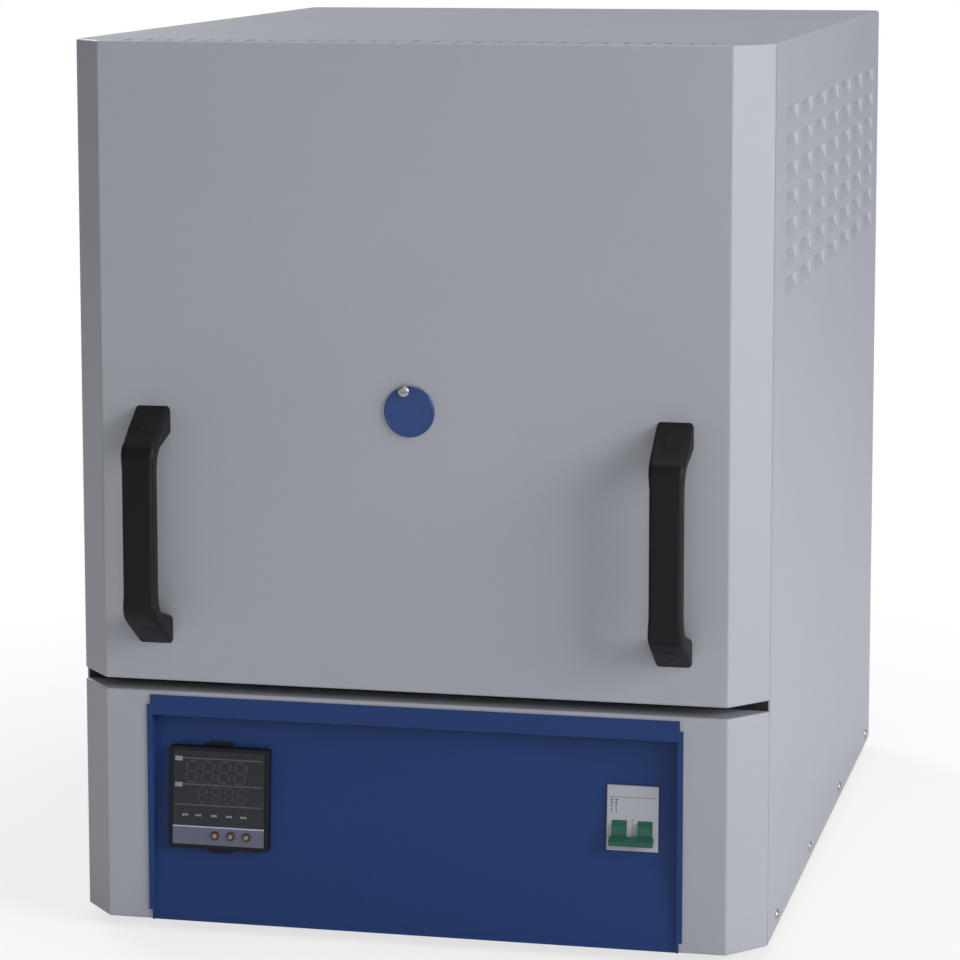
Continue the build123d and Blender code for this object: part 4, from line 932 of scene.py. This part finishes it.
@dataclass
class HandlePlugs:
    """Round plugs that close the screw wells in the slanted ends of the two handles."""

    centre_x: float = 182.0
    top: float = 364.5
    length: float = 166.5
    projection: float = 39.0
    lean: float = 25.0
    below_end: float = 10.0
    rings: tuple[Span, ...] = ((0.02, 0.5), (3.6, 0.52), (4.1, 0.6), (4.7, 0.6), (5.0, 0.35), (5.0, -0.3))
    spokes: int = 48

    def plug(self, side: Side, upper: bool) -> Shell:
        """Build one plug, round when seen from the front and parallel to the slanted end.

        Radius r and angle a make the grid: x is r cos a and z is r sin a from the plug's middle. y runs out
        of the door, so it is minus the distance from the handle's end times projection over lean, less the
        ring's own height.

        Args:
            side: The handle that it sits in.
            upper: Whether it is at the upper end.

        Returns:
            Vertices and quads.
        """
        radius, proud = np.array(self.rings).T
        angle = np.linspace(0, 2 * np.pi, self.spokes, endpoint=False)
        x, z = np.outer(radius, np.cos(angle)), np.outer(radius, np.sin(angle))
        from_end = self.below_end - z if upper else self.below_end + z
        y = -from_end * self.projection / self.lean - proud[:, None]
        level = self.top - self.below_end if upper else self.top - self.length + self.below_end
        points = np.stack([x + side.value * self.centre_x, y, z + level], -1).reshape(-1, 3)
        return points + ROW_SHIFT, grid_faces(len(radius), self.spokes, True)[:, ::-1]

    def build(self, shop: Workshop) -> None:
        """Add the two plugs of each handle.

        Args:
            shop: The workshop that places them.
        """
        for side in Side:
            plugs = [self.plug(side, upper) for upper in (True, False)]
            shop.add(f"handle_{side.name.lower()}_plugs", plugs, "door", "handle_plastic")


@dataclass
class CasingScrews:
    """Pan-head screws with cross recesses, in place of the plain heads of the solids."""

    head: float = 3.75
    height: float = 2.0
    slot: float = 0.62
    reach: float = 2.1
    depth: float = 1.3
    rings: int = 32
    spokes: int = 48
    per_row: int = 4
    side_x: float = 243.0
    side_first: float = 74.0
    side_pitch: float = 182.0
    side_z: float = 9.5
    rear_x: float = 232.8
    rear_y: float = 653.2
    rear_low: float = 46.0
    rear_high: float = 604.8

    def bar_share(self, across: np.ndarray, along: np.ndarray) -> np.ndarray:
        """Tell how far points lie in one bar of the cross.

        Args:
            across: Distances from the bar's middle line; the edge fades over 0.12 mm.
            along: Distances from the head's middle; the end fades over 0.3 mm.

        Returns:
            Values from 0, outside, to 1, inside.
        """
        width = np.clip((self.slot - np.abs(across)) / 0.12 + 0.5, 0, 1)
        return width * np.clip((self.reach - np.abs(along)) / 0.3 + 0.5, 0, 1)

    def dome(self) -> Shell:
        """Build one head about Z, standing on 0.

        Radius r and angle a make the grid. The height is that of a flattened dome, height times
        (1 - (r / R)^4) to the power of 0.6, less the recess depth where the point lies in either bar of the
        cross. The last ring goes just below 0.

        Returns:
            Vertices and quads.
        """
        radius = np.linspace(0.02, self.head, self.rings)
        angle = np.linspace(0, 2 * np.pi, self.spokes, endpoint=False)
        x, y = np.outer(radius, np.cos(angle)), np.outer(radius, np.sin(angle))
        z = self.height * (1 - (radius[:, None] / self.head) ** 4) ** 0.6
        z = z - self.depth * np.maximum(self.bar_share(x, y), self.bar_share(y, x))
        z[-1] = -0.05
        return np.stack([x, y, z], -1).reshape(-1, 3), grid_faces(self.rings, self.spokes, True)

    def places(self) -> list[tuple[float, float, float, Wall]]:
        """Say where the heads sit: along the sides' lower edges, and round the rear panel.

        Returns:
            X, Y, Z and wall of each head.
        """
        sides = [(wall.value * self.side_x, self.side_first + self.side_pitch * i, self.side_z, wall)
                 for wall in (Wall.LEFT, Wall.RIGHT) for i in range(self.per_row)]
        pitch = (self.rear_high - self.rear_low) / (self.per_row - 1)
        rear = [(side.value * self.rear_x, self.rear_y, self.rear_low + i * pitch, Wall.REAR)
                for side in Side for i in range(self.per_row)]
        return sides + rear + [(0.0, self.rear_y, self.rear_high, Wall.REAR)]

    def build(self, shop: Workshop) -> None:
        """Add every head, each turned a little differently.

        Args:
            shop: The workshop that places them.
        """
        points, faces = self.dome()
        chance = np.random.default_rng(7)
        shells = []
        for x, y, z, wall in self.places():
            a = chance.uniform(0, math.pi / 2)
            p = points @ np.array([[math.cos(a), math.sin(a), 0], [-math.sin(a), math.cos(a), 0], [0, 0, 1]])
            if wall is Wall.REAR:
                p = np.column_stack([-p[:, 0], p[:, 2], p[:, 1]])
            else:
                p = np.column_stack([p[:, 2] * wall.value, -p[:, 1] * wall.value, p[:, 0]])
            shells.append((p + [x, y, z] + ROW_SHIFT, faces))
        piece = shop.add("casing_screw_heads", shells, "root", "screw_steel")
        fix_normals(piece)
        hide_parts("casing_screws")


@dataclass(frozen=True)
class Lamp:
    """One soft square lamp, turned towards the middle of the furnace; place and size in metres."""

    name: str
    place: Triple
    size: float
    watts: float
    target: Triple = (0.0, 0.0, 0.3)

    def build(self) -> None:
        """Add the lamp."""
        light = bpy.data.lights.new(self.name, "AREA")
        light.shape, light.size, light.energy = "SQUARE", self.size, self.watts
        lamp = bpy.data.objects.new(self.name, light)
        lamp.location = self.place
        lamp.rotation_euler = (Vector(self.target) - Vector(self.place)).to_track_quat("-Z", "Y").to_euler()
        bpy.context.scene.collection.objects.link(lamp)


@dataclass(frozen=True)
class Studio:
    """Camera at the photograph's viewing angle, plain soft light and a pale floor."""

    focal_px: float = 3585.48
    centre_px: Span = (432.61, 371.0)
    frame_px: float = 960.0
    sensor_mm: float = 36.0
    yaw: float = 13.244
    pitch: float = -7.786
    roll: float = 0.142
    place_mm: Triple = (565.61, -2335.1, 722.25)
    white: str = "FFFFFF"
    sky: str = "F0F3FA"
    sky_strength: float = 0.13
    floor_colour: str = "F2F2F3"
    floor_rings_mm: Triple = (0.001, 8000.0, 90000.0)
    fade_m: Span = (0.4, 0.95)
    white_near: float = 0.72
    clip_m: Span = (0.05, 200.0)
    lamps: tuple[Lamp, ...] = (
        Lamp("key_lamp", (3.2, -1.6, 1.5), 1.8, 95.0),
        Lamp("fill_lamp", (0.6, -3.8, 1.4), 2.4, 22.0),
        Lamp("top_lamp", (0.4, 0.2, 3.4), 2.6, 52.0),
        Lamp("back_lamp", (-2.7, 3.1, 2.2), 2.0, 92.0),
    )

    def camera(self) -> None:
        """Add the camera.

        Its axes are those of a turn by yaw about Z, then by pitch about the new X, then by roll about the
        line of sight. The lens is the focal length in pixels over the frame, times the sensor. The shift is
        the distance from the photograph's middle to the point straight ahead, over the frame.
        """
        a, b, c = (math.radians(v) for v in (self.yaw, self.pitch, self.roll))
        turn = Matrix.Rotation(a, 3, "Z") @ Matrix.Rotation(b, 3, "X") @ Matrix.Rotation(c, 3, "Y")
        lens = bpy.data.cameras.new("photo_camera")
        lens.sensor_width = self.sensor_mm
        lens.lens = self.focal_px * self.sensor_mm / self.frame_px
        lens.shift_x = (self.frame_px / 2 - self.centre_px[0]) / self.frame_px
        lens.shift_y = (self.centre_px[1] - self.frame_px / 2) / self.frame_px
        lens.clip_start, lens.clip_end = self.clip_m
        eye = bpy.data.objects.new("photo_camera", lens)
        spot = (np.array(self.place_mm) + ROW_SHIFT) * MM
        eye.matrix_world = Matrix.Translation(spot) @ turn.to_4x4() @ Matrix.Rotation(math.pi / 2, 4, "X")
        bpy.context.scene.collection.objects.link(eye)
        bpy.context.scene.camera = eye

    def surroundings(self) -> None:
        """Set an even pale surrounding that gives a little of the light; the camera sees it as white."""
        world = bpy.data.worlds.new("pale_studio")
        bpy.context.scene.world = world
        g = Graph(world)
        seen = g.add("ShaderNodeBackground", {"Color": linear(self.white), "Strength": 1.0})
        light = g.add("ShaderNodeBackground", {"Color": linear(self.sky), "Strength": self.sky_strength})
        mix = g.add("ShaderNodeMixShader", {0: self.seen_straight(g), 1: light, 2: seen})
        g.close(mix, "ShaderNodeOutputWorld")

    @staticmethod
    def seen_straight(g: Graph) -> bpy.types.NodeSocket:
        """Give 1 where the camera sees the surface, also through glass, and 0 for light and gloss."""
        rays = [g.add("ShaderNodeLightPath", out=ray) for ray in ("Is Camera Ray", "Is Transmission Ray")]
        return g.add("ShaderNodeMath", {0: rays[0], 1: rays[1]}, operation="MAXIMUM")

    def floor(self) -> None:
        """Add a wide round floor, from a lathe profile of three flat rings.

        It takes light and shadow. The camera sees it mixed with the plain white of the surroundings, by 0.72
        near the furnace and wholly from 0.95 m out.
        """
        points, faces = lathe([(radius, 0.0) for radius in self.floor_rings_mm], 64)
        mesh = bpy.data.meshes.new("floor")
        mesh.from_pydata((points * MM).tolist(), [], faces[:, ::-1].tolist())
        floor = bpy.data.objects.new("floor", mesh)
        bpy.context.scene.collection.objects.link(floor)
        g = Graph(bpy.data.materials.new("pale_floor"))
        matt = g.add("ShaderNodeBsdfDiffuse", {"Color": linear(self.floor_colour)})
        white = g.add("ShaderNodeEmission", {"Color": linear(self.white), "Strength": 1.0})
        out = g.add("ShaderNodeVectorMath", {0: g.place}, "Value", operation="LENGTH")
        near, clear = self.fade_m
        far = g.add("ShaderNodeMapRange", {"Value": out, "From Min": near, "From Max": clear,
                                           "To Min": self.white_near, "To Max": 1.0})
        share = g.add("ShaderNodeMath", {0: far, 1: self.seen_straight(g)}, operation="MULTIPLY")
        mesh.materials.append(g.close(g.add("ShaderNodeMixShader", {0: share, 1: matt, 2: white})))
        floor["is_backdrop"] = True

    def build(self) -> None:
        """Set up camera, surroundings, floor and lamps."""
        self.camera()
        self.surroundings()
        self.floor()
        for lamp in self.lamps:
            lamp.build()
        bpy.context.scene.view_settings.view_transform = "Standard"


@dataclass
class Furnace:
    """The whole furnace: finishes on the solids first, then the fine pieces."""

    shop: Workshop = field(default_factory=Workshop)

    def build(self) -> None:
        """Dress every node, then build each sub-assembly in order."""
        self.shop.dress_nodes()
        for part in (ControllerFace(), BreakerFace(), PeepholeRim(), HandlePlugs(), CasingScrews()):
            part.build(self.shop)
            LOG.info("built %s", type(part).__name__)


def corners() -> list[list[float]]:
    """The lowest and highest corner of all that is in the scene, as plain numbers."""
    return [[float(v) for v in corner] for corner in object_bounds()]


def main() -> None:
    """Build the studio and the furnace."""
    logging.basicConfig(level=logging.INFO, format="%(message)s")
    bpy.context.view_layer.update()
    Studio().build()
    furnace = Furnace()
    furnace.build()
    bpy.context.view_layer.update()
    LOG.info("%d new pieces", furnace.shop.count)


if __name__ == "__main__":
    main()
